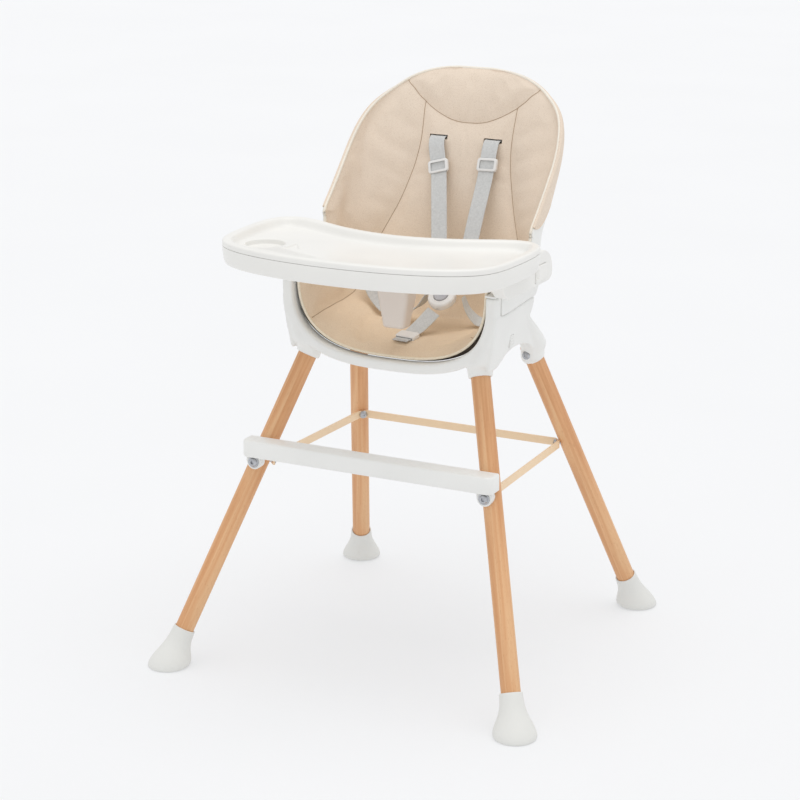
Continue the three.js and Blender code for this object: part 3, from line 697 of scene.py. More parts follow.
def seat_grid(s, angles):
    """Points and outward normals (away from the sitter) on a grid; s may differ by column."""
    s = np.asarray(s, float)
    if s.ndim == 1:
        s = np.repeat(s[:, None], len(angles), 1)
    a = np.repeat(np.asarray(angles)[None, :], len(s), 0)
    points = seat_points(s, a)
    e = 0.02
    along = seat_points(np.minimum(s + 1.0, TOP_S + 0.3), a) - seat_points(np.maximum(s - 1.0, FRONT_S), a)
    across = seat_points(s, np.minimum(a + e, math.pi / 2)) - seat_points(s, np.maximum(a - e, -math.pi / 2))
    normals = unit(-np.cross(across, along))
    level = np.clip((s - 140) / 115, 0, 1)[..., None]
    level = level * level * (3 - 2 * level)
    return points, unit(normals * (1 - level) + BACKWARD * level)


def quad_faces(grid):
    """The four-sided faces over a grid of vertex numbers."""
    return np.stack([grid[:-1, :-1], grid[:-1, 1:], grid[1:, 1:], grid[1:, :-1]], -1).reshape(-1, 4)


def slab_mesh(inner, outer, sides=1):
    """A closed sheet between two grids, with `sides` steps round its edge."""
    rows, cols = inner.shape[:2]
    rim = ([(0, c) for c in range(cols - 1)] + [(r, cols - 1) for r in range(rows - 1)]
           + [(rows - 1, c) for c in range(cols - 1, 0, -1)] + [(r, 0) for r in range(rows - 1, 0, -1)])
    layers = [inner.reshape(-1, 3), outer.reshape(-1, 3)]
    half = rows * cols
    grid = np.arange(half).reshape(rows, cols)
    quads = quad_faces(grid)
    faces = [tuple(q) for q in quads] + [tuple(q[::-1] + half) for q in quads]
    edge_in = [int(grid[r, c]) for r, c in rim]
    strips = [edge_in]
    for k in range(1, sides):
        start = sum(len(x) for x in layers)
        layers.append(np.array([inner[r, c] + (outer[r, c] - inner[r, c]) * k / sides for r, c in rim]))
        strips.append(list(range(start, start + len(rim))))
    strips.append([i + half for i in edge_in])
    for a, b in zip(strips[:-1], strips[1:]):
        for i in range(len(rim)):
            j = (i + 1) % len(rim)
            faces.append((a[j], a[i], b[i], b[j]))
    return np.concatenate(layers), faces


def boundary():
    """The seat's rim as a loop from the left front corner, over the top and along the front:
    its points and the outward surface normals at them."""
    s = even_rows(260)
    half = math.pi / 2
    left, nl = seat_grid(s, np.array([half]))
    right, nr = seat_grid(s, np.array([-half]))
    angles = even_angles(81)[1:-1]
    top, nt = seat_grid(s[-1:], angles[::-1])
    front, nf = seat_grid(s[:1], angles)
    p = np.vstack([left[:, 0], top[0], right[::-1, 0], front[0]])
    n = np.vstack([nl[:, 0], nt[0], nr[::-1, 0], nf[0]])
    return p, n


def relax(values, times, closed=True):
    for _ in range(times):
        if closed:
            values = (np.roll(values, 1, 0) + 2 * values + np.roll(values, -1, 0)) / 4
        else:
            middle = (values[:-2] + 2 * values[1:-1] + values[2:]) / 4
            values = np.vstack([values[:1], middle, values[-1:]])
    return values


# ---------------------------------------------------------------- cushion: panels, seams and puff
ARC = [(233, 88), (226.5, 62), (219, 46), (204.5, 30), (200, 26), (182.5, 12.2), (174, 5), (171.5, 0)]
SIDE_SEAM = [(200, 26), (182, 23.5), (163, 21.7), (138, 20.7), (106, 21.7), (74, 24.5), (40, 28.5), (12, 33),
             (-9, 36.5), (-60, 45), (-137, 53), (-159, 56), (-194, 58), (-249, 58.2), (FRONT_S, 57.5)]
SEAM_DEPTH = 2.6                 # how far a seam lies below the pad's face
CROWN = 3.6                      # how far the middle of a panel may rise
RIM_DEPTH = 8.4                  # how far the pad's face lies below its full height at the rim
GROOVE = ((1.9, 3.0), (1.1, 10.0))   # depth and width of the sewn line and of the dip round it


def seam_curve(points, count=200):
    """A seam in (s, angle) from its control points, angles in radians."""
    p = np.array(points, float) * [1, 6]
    return spline(p, count) * [1, math.radians(1) / 6]


def all_seams():
    arc = ARC + [(s, -a) for s, a in ARC[-2::-1]]
    curves = [seam_curve(arc, 260)]
    for side in (1, -1):
        curves.append(seam_curve([(s, side * a) for s, a in SIDE_SEAM], 420))
    return curves


SEAMS = all_seams()
SEAM_POINTS = [seat_points(c[:, 0], c[:, 1]) for c in SEAMS]


def distance_to(points, line):
    """Distance from each point to a densely sampled line."""
    nearest = np.full(len(points), 1e9)
    for k in range(0, len(line), 60):
        gap = np.linalg.norm(points[:, None] - line[None, k:k + 60], axis=2)
        nearest = np.minimum(nearest, gap.min(1))
    return nearest


def inflate(o, pins, cap, pressure=4.0, frames=20):
    """Cloth under inner pressure, held at its pinned points; no point moves further than `cap`."""
    start = coordinates(o)
    group = o.vertex_groups.new(name="held")
    for i in np.nonzero(pins)[0]:
        group.add([int(i)], float(min(1, pins[i])), "REPLACE")
    cloth = o.modifiers.new("cloth", "CLOTH")
    s = cloth.settings
    s.quality, s.mass = 6, 0.25
    s.tension_stiffness = s.compression_stiffness = 12
    s.shear_stiffness, s.bending_stiffness = 8, 12
    s.use_pressure, s.uniform_pressure_force = True, pressure
    s.effector_weights.gravity = 0
    s.vertex_group_mass = "held"
    s.pin_stiffness = 3
    s.shrink_min = -0.004
    cloth.point_cache.frame_start, cloth.point_cache.frame_end = 1, frames
    for frame_number in range(1, frames + 1):
        bpy.context.scene.frame_set(frame_number)
    graph = bpy.context.evaluated_depsgraph_get()
    moved = coordinates(o.evaluated_get(graph))
    o.modifiers.remove(cloth)
    o.vertex_groups.clear()
    bpy.context.scene.frame_set(1)
    step = moved - start
    size = np.linalg.norm(step, axis=1, keepdims=True)
    step *= cap * np.tanh(size / cap) / np.maximum(size, 1e-9)
    set_coordinates(o, start + step)


def cushion():
    angles = even_angles(113)
    s = even_rows(150)
    points, normals = seat_grid(s, angles)
    flat = points.reshape(-1, 3)
    seam = np.min([distance_to(flat, line) for line in SEAM_POINTS], axis=0).reshape(points.shape[:2])
    edge_points, _ = boundary()
    edge = distance_to(flat, edge_points).reshape(points.shape[:2])
    low = SEAM_DEPTH + (RIM_DEPTH - SEAM_DEPTH) * np.clip(1 - edge / 20, 0, 1)[..., None] ** 2.2
    near = np.minimum(seam, edge * 1.2)
    low = low - ((0.7 * CROWN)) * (1 - np.exp(-(near / 20) ** 2))[..., None]
    inner = points + normals * low
    outer = points + normals * (PAD - 0.1)
    pad = obj("cushion_cover", *slab_mesh(inner, outer, 3), LEATHER, 180)
    held = np.ones(len(pad.data.vertices))
    front = np.clip(1.2 - np.minimum(seam, edge) / 7, 0, 1)
    front[front < 0.05] = 0
    held[:front.size] = front.ravel()
    inflate(pad, held, CROWN)
    modify(pad, "SUBSURF", levels=1)
    bake(pad)
    place_now = coordinates(pad)
    direction = vectors(pad, "normal")
    groove = np.zeros(len(place_now))
    for line in SEAM_POINTS:
        far = distance_to(place_now, line)
        groove += sum(depth * np.exp(-(far / width) ** 2) for depth, width in GROOVE)
    for curve, depth, width in CREASES:
        far = distance_to(place_now, seat_points(curve[:, 0], curve[:, 1]))
        groove += depth * np.exp(-(far / width) ** 2)
    set_coordinates(pad, place_now - direction * groove[:, None])
    for side in (1, -1):
        combine(pad, slot_tool(side))
    soften(pad, 75)
    return pad


SLOT_S, SLOT_X = 146, 46.6
SLOT = BACK_ORIGIN + SLOT_S * UP


def slot_tool(side, slack=0.0):
    low = np.array([side * SLOT_X - 15.5 - slack, SLOT[0] - 24, SLOT[1] - 3.4 - slack])
    high = np.array([side * SLOT_X + 15.5 + slack, SLOT[0] + 19, SLOT[1] + 3.4 + slack])
    return cutter(block(low, high))


CREASES = [                      # soft folds down the middle of the back: line, depth and width
    (seam_curve([(158, -0.2), (120, 0.3), (80, -0.3), (40, -1.2), (0, -2.5)], 160), 1.3, 3.5),
    (seam_curve([(150, 4.5), (110, 5.2), (60, 4.6), (15, 5.5)], 160), 0.6, 5.0),
    (seam_curve([(150, -5.2), (115, -5.4), (70, -6.2), (20, -6.0)], 160), 0.6, 5.0),
]

pad = cushion()
place(pad, "seat", "cover_leather", "seat_pad", "rear_cover")

EDGE, EDGE_NORMAL = boundary()
EDGE = relax(EDGE, 3)
EDGE_NORMAL = unit(relax(EDGE_NORMAL, 6))
EDGE_ALONG = unit(np.roll(EDGE, -1, 0) - np.roll(EDGE, 1, 0))
EDGE_OUT = unit(np.cross(EDGE_NORMAL, EDGE_ALONG))
if (EDGE_OUT[130] @ np.array([0, OUT[0], OUT[1]])) < 0:
    EDGE_OUT = -EDGE_OUT


def cord(name, path, up, radius, sides, material):
    """A round cord along a path, with `up` its direction out of the seat."""
    across = unit(np.cross(up, unit(np.gradient(path, axis=0))))
    return obj(name, *sweep(path, across, up, circle(radius, sides)), material, 180)


def piping():
    """The corded welt round the whole rim."""
    loop = EDGE + EDGE_OUT * 0.6 + EDGE_NORMAL * 9.4
    loop = even(loop, 760, True)
    along = unit(np.roll(loop, -1, 0) - np.roll(loop, 1, 0))
    side = unit(np.cross(along, [0.0, 0.0, 1.0]) + 1e-6)
    up = np.cross(along, side)
    wobble = 1 + 0.03 * np.sin(np.arange(len(loop)) * 0.9)
    skin = sweep(loop, side * wobble[:, None], up * wobble[:, None], circle(2.1, 12), True)
    return obj("cushion_piping", *skin, PIPING, 180)


place(piping(), "seat", "cover_leather")


PAD_TREE = BVHTree.FromObject(pad, bpy.context.evaluated_depsgraph_get())


def thread_line(name, curve):
    """A fine sewn line lying in the bottom of a seam."""
    p, n = [], []
    for s, a in curve:
        q, m = seat_grid(np.array([s]), np.array([a]))
        p.append(q[0, 0])
        n.append(m[0, 0])
    p, n = np.array(p), unit(relax(np.array(n), 4, False))
    hits = [PAD_TREE.ray_cast(Vector((q - m * 8) * MM), Vector(m), 0.03)[0] for q, m in zip(p, n)]
    path = np.array([np.array(hit) / MM if hit else q + 3 * m for hit, q, m in zip(hits, p, n)])
    return cord(name, relax(path - n * 0.05, 4, False), n, 0.5, 8, THREAD)


for name, curve in zip(("headrest", "left", "right"), SEAMS):
    place(thread_line(f"seam_{name}", curve), "seat", "cover_leather")


HEM = 84                         # where the pocket's lower edge crosses the middle of the back
HEM_FALL = 70                    # how far that edge drops at the seat's rim


def rear_pocket():
    """The cover's pocket over the back of the shell, turned round the shell's edge to the piping."""
    angles = even_angles(97)
    hem = HEM - HEM_FALL * np.sin(np.abs(angles)) ** 24
    rows = (even_rows(90, HEM, TOP_S) - HEM) / (TOP_S - HEM)
    s = hem[None, :] + rows[:, None] * (TOP_S - hem[None, :])
    points, normals = seat_grid(s, angles)
    lift = 14.6 + 2.6 * np.cos(angles) ** 2
    lift = np.repeat(lift[None, :, None], len(s), 0)
    near_hem = np.clip(rows / 0.05, 0, 1)[:, None, None]
    sheet = points + normals * (lift - 0.8 * (1 - near_hem))
    loop = np.vstack([sheet[:, -1], sheet[-1, -2:0:-1], sheet[::-1, 0]])
    base = np.vstack([points[:, -1], points[-1, -2:0:-1], points[::-1, 0]])
    n = unit(relax(np.vstack([normals[:, -1], normals[-1, -2:0:-1], normals[::-1, 0]]), 4, False))
    along = unit(np.gradient(relax(base, 3, False), axis=0))
    out = unit(np.cross(n, along))
    middle = len(base) // 2
    if out[middle][2] < 0:
        out = -out
    grid = np.arange(sheet[..., 0].size).reshape(sheet.shape[:2])
    faces = [tuple(q) for q in quad_faces(grid)]
    verts = [sheet.reshape(-1, 3)]
    last = list(grid[:, -1]) + list(grid[-1, -2:0:-1]) + list(grid[::-1, 0])
    top = grid.size
    for e, h in ((0.9, 14.4), (1.7, 13.8), (2.1, 12.8), (2.1, 11.6), (1.6, 10.8)):
        verts.append(base + out * e + n * h)
        now = list(range(top, top + len(base)))
        faces += [(last[i], last[i + 1], now[i + 1], now[i]) for i in range(len(base) - 1)]
        last, top = now, top + len(base)
    cover = obj("rear_pocket", np.concatenate(verts), faces, LEATHER, 180)
    modify(cover, "SOLIDIFY", thickness=1.1 * MM, offset=0)
    bake(cover)
    soften(cover, 60)
    return cover, sheet[0], normals[0]


pocket, HEM_LINE, HEM_NORMALS = rear_pocket()
place(pocket, "seat", "cover_leather")


def hem_welt():
    """The rolled hem along the pocket's lower edge."""
    at, known = np.linspace(0, 1, 220), np.linspace(0, 1, len(HEM_NORMALS))
    n = unit(np.stack([np.interp(at, known, HEM_NORMALS[:, k]) for k in range(3)], 1))
    return cord("pocket_hem", even(HEM_LINE, 220), n, 1.5, 10, LEATHER)


place(hem_welt(), "seat", "cover_leather")


# ---------------------------------------------------------------- seat shell
def shell():
    angles = even_angles(91)
    s = even_rows(120, FRONT_S + 11, TOP_S - 1)
    points, normals = seat_grid(s, angles)
    sheet = slab_mesh(points + normals * (PAD + 0.5), points + normals * (PAD + 0.5 + SHELL), 2)
    body = obj("bucket_shell", *sheet, WHITE, 50)
    for side in (1, -1):
        combine(body, slot_tool(side, 0.5))
    soften(body, 40)
    return body


place(shell(), "seat", "white_plastic", "seat_shell")


def front_gap_shade_sheet():
    """A dark sheet of painted shade behind the cushion's front edge, which closes the slit to the base's hoop
    and stands in for the shadow in it.
    """
    angles = even_angles(121)
    points, normals = seat_grid(np.array([FRONT_S + 3.0]), angles)
    near = points[0] + normals[0] * (PAD + 0.1)
    across, down = u_turn(angles)
    far = np.column_stack([160.4 * across, np.full(len(angles), -98.5), U_TOP - 107.4 * down])
    sheet = np.stack([near + (far - near) * t for t in np.linspace(0, 1, 5)])
    return obj("front_gap_painted_shade", *slab_mesh(sheet, sheet + [0, 1.6, 0], 2), GAP_SHADE_PAINT, 50)


place(front_gap_shade_sheet(), "seat", "white_plastic")

SEAM_EDGE = [(-118, 567), (-70, 566), (-35, 568.5), (0, 570.5), (25, 571)]


def plate(name, outline, x0, x1):
    """A slab between two x positions over a (y, z) outline."""
    outline = np.asarray(outline, float)
    rings = [np.column_stack([np.full(len(outline), x), outline]) for x in (x0, x1)]
    return obj(name, *loft(rings))


def armrest(side):
    """The panel that closes the shell's side above the base, with its top ledge."""
    edge = spline(SEAM_EDGE, 40) + [0, 0.6]
    rear = spline([(25, 571.6), (31, 577), (36, 584), (39.5, 592), (42, 600)], 16)[1:]
    outline = np.vstack([edge, rear, [(-94.7, 600)]])
    outline = outline[outline[:, 0] >= -94.7]
    outline = np.vstack([[(-94.7, edge[0, 1])], outline])
    panel = plate("armrest_panel", outline, side * 161.5, side * 178)
    ledge = cutter(block((side * 161.5, -118, 597.2), (side * 178, -92, 600)))
    combine(panel, ledge, "UNION")
    hollow = [(-91, 560), (21, 560), (30, 578), (35, 594), (-91, 594)]
    combine(panel, plate("tool", hollow, side * 150, side * 174))
    paint(panel, WHITE)
    bevel(panel, 0.6, 3)
    panel.name = "armrest_" + ("left" if side > 0 else "right")
    return panel


for side_name, side in SIDES:
    place(armrest(side), "seat", "white_plastic")


# ---------------------------------------------------------------- base frame
def u_path(a, b, top, count=90):
    across, down = u_turn(np.linspace(-math.pi / 2, math.pi / 2, 3000))
    line = np.column_stack([a * across, U_TOP - b * down])
    if top > U_TOP:
        line = np.vstack([[(-a, top)], line, [(a, top)]])
    else:
        line = line[line[:, 1] <= top]
    return even(line, count)


def hoop(name, outer, inner, y0, y1, top, radius):
    """A rounded U of bar; the profile turns from the outer outline to the inner one."""
    o, i = u_path(*outer, top), u_path(*inner, top)
    rings = []
    for p, q in zip(o, i):
        bar = np.linalg.norm(p - q)
        depth = unit(q - p)
        section = round_profile(bar, y1 - y0, radius, 5)
        rings.append([(p[0] + depth[0] * (u + bar / 2), (y0 + y1) / 2 + v, p[1] + depth[1] * (u + bar / 2))
                      for u, v in section])
    return obj(name, *loft(rings))


def lean(z):
    return 14 * np.maximum(0, (567 - z) / 97) ** 1.5


WALL_LOWER = [(25, 571), (23.5, 563), (18, 550), (10.5, 538), (22, 520), (48, 496), (84, 470), (80, 464.5),
              (66, 462.5), (55, 472), (45, 483), (30, 492), (12, 498), (-8, 502), (-28, 503.5), (-44, 502),
              (-58, 498.5), (-84, 484), (-112, 482)]


def side_wall(side):
    lower = even(spline(WALL_LOWER, 200), 140)
    edge = spline(SEAM_EDGE, 50)
    wall = plate("wall", np.vstack([edge, lower[1:]]), side * 172, side * 178)
    modify(wall, "REMESH", mode="VOXEL", voxel_size=2 * MM)
    bake(wall)
    co = coordinates(wall)
    co[:, 0] -= side * lean(co[:, 2])
    set_coordinates(wall, co)
    return wall


SOCKETS = {
    "front": [(147.5, -99, 490, 20.5), (157, -102.5, 518, 16.2), (164, -106, 548, 10.5), (167, -107, 570, 7)],
    "rear": [(157, 69, 482, 20), (160.5, 44, 508, 17.5), (165, 14, 534, 13), (170, -4, 552, 7)],
}


def socket(end, side):
    direction, at = leg_line(end, side)
    mouth = LEGS[end]["mouth"][2]
    low = [(*at(mouth), 18.2), (*at(mouth + 6), 18.7)]
    route = low + [(side * x, y, z, r) for x, y, z, r in SOCKETS[end]]
    rings = []
    for k, (x, y, z, r) in enumerate(spline(route, 40)):
        normal = unit((1 - k / 39) * direction + (k / 39) * np.array([0, 0, 1.0]))
        rings.append(ring((x, y, z), normal, r, 40))
    return obj("socket", *loft(rings))


def u_solid(a, b, top, y0, y1):
    line = u_path(a, b, top, 120)
    return cutter(loft([np.column_stack([line[:, 0], np.full(len(line), y), line[:, 1]]) for y in (y0, y1)]))


def seat_room():
    """Everything the shell passes through, as a closed body."""
    points, normals = seat_grid(np.linspace(FRONT_S, 40, 60), even_angles(61))
    return cutter(slab_mesh(points - normals * 20, points + normals * (PAD + SHELL + 1.5), 1))


def base_frame():
    parts = [hoop("hoop", (177.8, 124), (161, 108), -118, -95, 596, 4.2),
             hoop("hoop", (174, 122), (165.5, 104.5), -8, 14, 558, 2.5)]
    for side in (1, -1):
        parts += [side_wall(side), socket("front", side), socket("rear", side)]
    whole = merged("base_moulding", parts)
    modify(whole, "REMESH", mode="VOXEL", voxel_size=1.7 * MM)
    modify(whole, "SMOOTH", factor=0.5, iterations=9)
    bake(whole)
    combine(whole, u_solid(161, 108, 640, -130, -94))
    combine(whole, u_solid(166, 110, 640, -95, 118))
    combine(whole, seat_room())
    for end in LEGS:
        inward = 1 if end == "front" else -1
        for side in (1, -1):
            direction, at = leg_line(end, side)
            mouth, top = LEGS[end]["mouth"][2], LEGS[end]["top"]
            depth = (top + 31 - mouth) / direction[2]
            low = turned(at(mouth - 30), direction, [(0, 14.9), (depth, 14.9)], 56)
            combine(whole, cutter(low))
            end_cut = turned(at(mouth) - direction * 30, direction, [(0, 26), (30, 26)], 48)
            combine(whole, cutter(end_cut))
            along = np.array([0.0, -inward, 0])
            seat = at(mouth + 9) - 21.7 * along
            combine(whole, cutter(turned(seat - along * 30, along, [(0, 7.6), (30, 7.6)], 40)))
            combine(whole, cutter(turned(seat - along, along, [(0, 2.9), (30, 2.9)], 20)))
    for side in (1, -1):
        combine(whole, cutter(block((side * 150, -55.5, 507.5), (side * 190, -42.5, 527.5))))
    paint(whole, WHITE, 42)
    return whole


place(base_frame(), "base", "white_plastic", "base_frame")


# ---------------------------------------------------------------- tray
TRAY_RIGHT = [(33, -291.2), (66, -288.5), (99, -283.8), (130, -277), (158, -268), (182, -257), (202, -243),
              (216, -225), (224, -203), (228, -175), (230, -140), (230, -100), (226, -70), (215, -49),
              (198, -38.5), (178, -37), (150, -46), (118, -60.5), (85, -73.5), (43, -84)]
TRAY_LOOP = smooth_loop([(0, -292)] + TRAY_RIGHT + [(0, -88)] + [(-x, y) for x, y in TRAY_RIGHT[::-1]], 420)
TRAY_LOOP = relax(TRAY_LOOP, 4)
TRAY_IN = unit(np.roll(TRAY_LOOP, -1, 0) - np.roll(TRAY_LOOP, 1, 0))[:, ::-1] * [-1, 1]
if np.sum((TRAY_LOOP - TRAY_LOOP.mean(0)) * TRAY_IN) > 0:
    TRAY_IN = -TRAY_IN


def tray_ring(inset, z):
    return at_height(relax(TRAY_LOOP + TRAY_IN * inset, int(min(40, max(0, inset) * 2))), z)


def rounded_plate(name, outline, x0, x1, radius):
    return bevel(plate(name, outline, x0, x1), radius, 4, 50)


ARM_INSIDE, ARM_OUTSIDE = 179.2, 200
ARM_OUTLINE = [(-150, 637), (-138, 612), (-122, 599), (-104, 597), (26, 597), (36, 602), (39, 612),
               (36, 626), (27, 640), (10, 647), (-30, 648), (-60, 645), (-150, 645)]


def rounded_outline(points, radius, steps=7):
    """A polygon with each corner turned on an arc."""
    p = np.asarray(points, float)
    made = []
    for i in range(len(p)):
        before, here, after = p[i - 1], p[i], p[(i + 1) % len(p)]
        a, b = unit(before - here), unit(after - here)
        reach = min(radius, 0.45 * np.linalg.norm(before - here), 0.45 * np.linalg.norm(after - here))
        for k in range(steps + 1):
            t = k / steps
            made.append((1 - t)**2 * (here + a * reach) + 2 * t * (1 - t) * here + t**2 * (here + b * reach))
    return np.array(made)


def tray_base():
    skin = [(5.2, 643.8), (4.4, 643.9), (4.0, 644.6), (4.0, 659.2), (3.6, 659.8), (0.6, 659.9), (0.15, 659.5),
            (0, 658.8), (0.2, 652), (1.6, 640.5), (2.2, 637.6), (3.0, 635.3), (4.0, 633.8), (5.2, 633.1),
            (6.2, 633.3), (6.6, 634.2), (6.6, 639.4), (7.2, 640)]
    tray = obj("tray_body", *loft([tray_ring(i, z) for i, z in skin]), TRAY_WHITE)
    soften(tray, 35)
    return tray


def tray_arm(side):
    """A side arm under the tray, with its rail and the pocket of its release button."""
    name = "tray_arm_" + ("left" if side > 0 else "right")
    arm = rounded_plate(name, rounded_outline(ARM_OUTLINE, 9), ARM_INSIDE, ARM_OUTSIDE, 2.6)
    rail = rounded_plate("tool", [(-108, 600.8), (-24, 601.8), (-24, 607.5), (-108, 606.5)], 166,
                         ARM_INSIDE + 1.3, 1.2)
    combine(arm, rail, "UNION")
    combine(arm, cutter(block((188, -26.6, 602.9), (206, 12.6, 628.1))))
    if side < 0:
        set_coordinates(arm, coordinates(arm) * [-1, 1, 1])
        arm.data.flip_normals()
    paint(arm, TRAY_WHITE, 35)
    return arm


CUP_FLOOR = (-170, -178, 649)


def tray_liner():
    skin = [(8, 644.3), (5.6, 644.4), (4.7, 645.4), (4.6, 659.6), (4.3, 660.3), (0.5, 660.4), (0, 661),
            (0, 665.6), (0.4, 667.2), (1.3, 668.3), (2.8, 669), (5, 669.3), (8, 669.4), (10.5, 669.2),
            (12.4, 668.4), (13.8, 667), (15.2, 664.8), (17.2, 661.4), (19, 659), (21, 657.6), (23.5, 657)]
    liner = obj("tray_top", *loft([tray_ring(i, z) for i, z in skin]), TRAY_WHITE)
    cup = [(0, 24), (0.15, 27), (0.9, 28.8), (2.4, 29.5), (6.2, 29.6), (7.0, 29.9), (7.6, 30.6), (8.05, 31.8),
           (20, 31.9)]
    combine(liner, cutter(turned(CUP_FLOOR, (0, 0, 1), cup, 96)))
    corners = np.array([(-126, -160), (-102, -193), (-130, -199)], float)
    middle = corners.mean(0)
    outline = rounded_outline(corners, 5)
    dimple = [at_height(middle + (outline - middle) * k, z)
              for k, z in ((0.55, 654.6), (0.8, 655), (0.95, 656.2), (1.0, 657.05), (1.0, 662))]
    combine(liner, cutter(loft(dimple)))
    soften(liner, 33)
    return liner


place(tray_base(), "tray", "tray_plastic", "tray_base")
for side_name, side in SIDES:
    place(tray_arm(side), "tray", "tray_plastic")
place(tray_liner(), "liner", "tray_plastic", "tray_liner")


def release_button(name, side):
    """A push button with rounded edges and a finger hollow at its front end."""
    button = obj(name, *block((side * 194.2, -26, 603.5), (side * 202.2, 12, 627.5)))
    bevel(button, 1.6, 4)
    hollow = cutter(turned((side * 207.5, -21.5, 609), (0, 0, 1), [(0, 7.2), (13, 7.2)], 32))
    combine(button, hollow)
    paint(button, TRAY_WHITE, 35)
    return button


LATCH_Z = 517.5


def base_latch(name, side):
    """The seat's latch button on the base's side wall, with three grip grooves."""
    outside = 179.6 - lean(LATCH_Z)
    low, high = (side * (outside - 12), -55, LATCH_Z - 9.5), (side * outside, -43, LATCH_Z + 9.5)
    latch = obj(name, *block(low, high))
    bevel(latch, 1.0, 3)
    for k in (-1, 0, 1):
        groove = turned((side * outside, -56, LATCH_Z + 4.5 * k), (0, 1, 0), [(0, 0.8), (14, 0.8)], 12)
        combine(latch, cutter(groove))
    paint(latch, WHITE, 35)
    return latch


for side_name, side in SIDES:
    place(release_button(f"release_button_{side_name}", side), f"release_{side_name}", "tray_plastic",
          f"tray_release_{side_name}")
    place(base_latch(f"base_latch_{side_name}", side), f"latch_{side_name}", "white_plastic",
          f"seat_latch_{side_name}")


def crotch_guard():
    levels = [(527, 18, -97, -70), (545, 20.5, -98.5, -68), (580, 26, -100, -64), (632.4, 27, -104, -66)]
    fine = spline(levels, 36)
    rings = []

    def level(z, half, front, back, inset=0.0):
        section = round_profile(2 * (half - inset), back - front - 2 * inset, 7 - min(inset, 3), 7)
        return [(x, (front + back) / 2 + y, z) for x, y in section]

    for inset, drop in ((4.0, 0), (2.4, 0.3), (1.1, 1.1), (0.3, 2.3)):
        rings.append(level(527 + drop, *fine[0][1:], inset))
    rings += [level(*row) for row in fine[fine[:, 0] > 530]]
    guard = obj("guard_post", *loft(rings), GUARD)
    flange = cutter(block((-24, -150, 628), (24, -94, 639.7)))
    bevel(flange, 2, 3)
    combine(guard, flange, "UNION")
    paint(guard, GUARD, 40)
    return guard


place(crotch_guard(), "tray", "guard_plastic", "crotch_guard")


# ---------------------------------------------------------------- harness
def strap_frames(route, steps):
    """Along a strap's route of (point, direction across): centre, along, across and out."""
    c = spline([p for p, _ in route], steps)
    along = unit(np.gradient(c, axis=0))
    x = spline([a for _, a in route], steps)
    x = unit(x - along * np.sum(x * along, axis=1, keepdims=True))
    return c, along, x, np.cross(along, x)


def ribbon(name, route, width, steps=150, ripple=0.35, phase=0.0):
    """Flat webbing with bound edges, a slight cupping and its weave mapped in metres."""
    c, along, x, n = strap_frames(route, steps)
    length = run(c)
    half = width / 2
    section = [(-half, 0.15), (-half + 0.5, 0.72), (-half + 1.3, 0.85), (-half + 2.2, 0.66)]
    across = np.linspace(-half + 3.6, half - 3.6, 9)
    upper = section + [(u, 0.62) for u in across] + [(-u, h) for u, h in section[::-1]]
    profile = np.array(upper + [(u, -h) for u, h in upper[::-1]])
    rings, fade = [], np.clip(np.minimum(length, length[-1] - length) / 40, 0, 1)
    for i in range(steps):
        wave = ripple * fade[i] * math.sin(length[i] / 17 + phase)
        cup = 0.5 * fade[i] * ((profile[:, :1] / half) ** 2 - 0.4)
        lift = profile[:, 1:] + wave + cup
        rings.append(c[i] + profile[:, :1] * x[i] + lift * n[i])
    o = obj(name, *loft(rings), WEBBING, 60)
    weave = o.data.uv_layers.new(name="weave")
    loops = np.empty(len(o.data.loops), np.int32)
    o.data.loops.foreach_get("vertex_index", loops)
    uv = np.column_stack([profile[loops % len(profile), 0], length[loops // len(profile)]]) * MM
    weave.data.foreach_set("uv", uv.astype(np.float32).ravel())
    return o


X_AXIS = (1, 0, 0)
SHOULDER = {
    "left": [(46.6, SLOT[0] + 11, SLOT[1]), (46.6, SLOT[0] - 3, SLOT[1]), (47, SLOT[0] - 11, SLOT[1] - 9),
             (48.3, 124, 728), (49.5, 69, 634), (50.5, 40.5, 580)],
    "right": [(-46.6, SLOT[0] + 11, SLOT[1]), (-46.6, SLOT[0] - 3, SLOT[1]),
              (-44.9, SLOT[0] - 11, SLOT[1] - 9), (-32.5, 124, 728), (-4, 68, 634), (9.5, 40.5, 580)],
}
LAP = {
    "left": [((117, 47, 566), (0, 0.5, 1)), ((106, 39, 542), (0.1, 0.6, 1)), ((86, 30, 519), (0.1, 1, 0.45)),
             ((68, 26, 534), (-0.1, 1, 0.1)), ((59, 24, 556), (-0.2, 1, -0.1))],
    "right": [((-117, 47, 566), (0, 0.5, 1)), ((-100, 38, 540), (-0.1, 0.6, 1)),
              ((-62, 28, 516), (-0.1, 1, 0.45)), ((-20, 25, 530), (0.1, 1, 0.1)),
              ((1, 24, 554), (0.2, 1, -0.1))],
}
SLIDER_AT = {"left": 0.542, "right": 0.58}
CROTCH = [((0, -74, 503.5), X_AXIS), ((1, -60, 504.5), X_AXIS), ((4.5, -38, 509.5), X_AXIS),
          ((14, -23, 521), X_AXIS), ((25, -8.5, 536.5), X_AXIS)]


def upright(section, y0, y1):
    """A prism along y over an (x, z) outline."""
    return loft([[(x, y, z) for x, z in section] for y in (y0, y1)])


def slider(name, route, t):
    """A moulded adjuster: a rounded frame with a window at the front and the webbing through it."""
    body = obj(name, *upright(round_profile(33, 21, 4.2, 5), -3.2, 3.2))
    bevel(body, 1.3, 4)
    combine(body, cutter(block((-14.2, -1.9, -12), (14.2, 1.9, 12))))
    combine(body, cutter(upright(round_profile(24.6, 13.4, 1.8, 4), -5, 0)))
    paint(body, BUCKLE_WHITE, 35)
    c, along, x, _ = strap_frames(route, 1001)
    k = int(round(1000 * t))
    z = -along[k]
    body.data.transform(stand(x[k], np.cross(z, x[k]), z, c[k]))
    return body


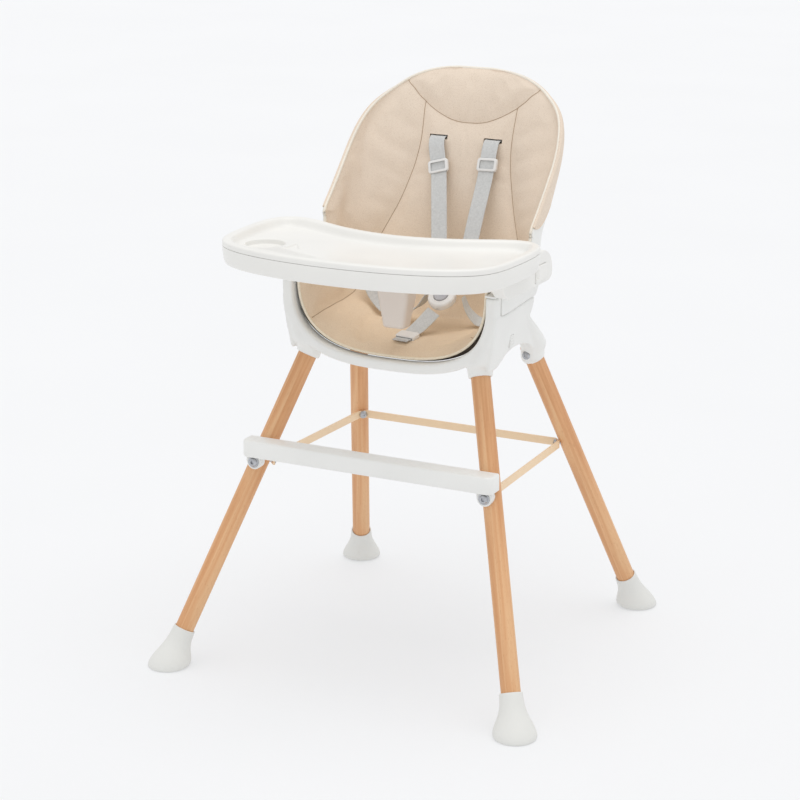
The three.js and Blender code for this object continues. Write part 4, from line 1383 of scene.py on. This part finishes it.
for i, (side_name, side) in enumerate(SIDES):
    route = [(p, X_AXIS) for p in SHOULDER[side_name]]
    place(ribbon(f"shoulder_webbing_{side_name}", route, 26, 170, 0.4, i), "seat", "webbing",
          f"shoulder_strap_{side_name}")
    place(slider(f"shoulder_slider_{side_name}", route, SLIDER_AT[side_name]), "seat", "buckle_plastic",
          f"strap_slider_{side_name}")
    place(ribbon(f"lap_webbing_{side_name}", LAP[side_name], 22, 120, 0.2, i), "seat", "webbing",
          f"lap_strap_{side_name}")
place(ribbon("crotch_webbing", CROTCH, 26, 90, 0.1), "seat", "webbing", "crotch_strap")
place(slider("crotch_adjuster", CROTCH, 0.35), "seat", "buckle_plastic", "crotch_slider")

FACING, DISC_UP = unit([0, -0.62, 0.785]), unit([0, 0.785, 0.62])
BUCKLE = np.array([30.0, 10, 555])


def on_buckle(x, up, out=0.0):
    return BUCKLE + np.array([x, 0, 0]) + DISC_UP * up + FACING * out


def buckle():
    """The round buckle: a domed ring with a raised collar round the button's well."""
    skin = [(0, 18), (0.6, 20.2), (2, 21.6), (4, 22), (9, 22), (10.8, 21.4), (12.2, 19.8), (12.9, 17.6),
            (13.0, 14.4), (13.5, 13.6), (13.5, 12.8), (12.9, 12.1), (7.6, 12.0)]
    body = obj("buckle_disc", *turned(on_buckle(0, 0, -6.5), FACING, skin, 72), BUCKLE_WHITE)
    for x, up in ((-17, 10), (17, 10), (0, -20)):
        away = unit(np.array([x, 0, 0]) + DISC_UP * up)
        mouth = turned(on_buckle(0, 0) + away * 17.5, away, [(0, 1.7), (8, 1.7)], 4)
        combine(body, cutter(mouth))
    soften(body, 33)
    button = [(0, 11.2), (0.4, 11.5), (2.4, 11.5), (3.1, 11.0), (3.5, 9.8), (3.2, 8.2), (2.7, 5), (2.6, 1)]
    press = obj("buckle_press_button", *turned(on_buckle(0, 0, 4.7), FACING, button, 60), BUTTON_GREY, 40)
    return body, press


disc, press = buckle()
place(disc, "seat", "buckle_plastic", "buckle_body")
place(press, "buckle_press", "button_plastic", "buckle_button")

for side_name, side in SIDES:
    across = np.array([0.83 * side, 0, 0]) - 0.56 * DISC_UP
    up = np.array([0.56 * side, 0, 0]) + 0.83 * DISC_UP
    z = unit(up)
    x = unit(across - z * (across @ z))
    tongue = obj(f"harness_tongue_{side_name}", *upright(round_profile(20, 17, 3, 5), -1.6, 1.6))
    bevel(tongue, 0.6, 3)
    combine(tongue, cutter(upright(round_profile(13, 3, 1.2, 4) + [0, 3.2], -4, 4)))
    paint(tongue, BUCKLE_WHITE, 35)
    tongue.data.transform(stand(x, np.cross(z, x), z, on_buckle(side * 20, 25.5)))
    place(tongue, "seat", "buckle_plastic", f"buckle_tongue_{side_name}")


# ---------------------------------------------------------------- kept CAD nodes
def finish_node(name, material, width):
    node = NODES[name]
    node.data.materials.clear()
    node.data.materials.append(material)
    modify(node, "BEVEL", width=width * MM, segments=2, limit_method="ANGLE", angle_limit=math.radians(40))
    soften(node, 40)


finish_node("leg_brace", BRACE_PAINT, 0.6)
for side_name, _ in SIDES:
    finish_node(f"strap_anchor_{side_name}", STEEL, 0.5)
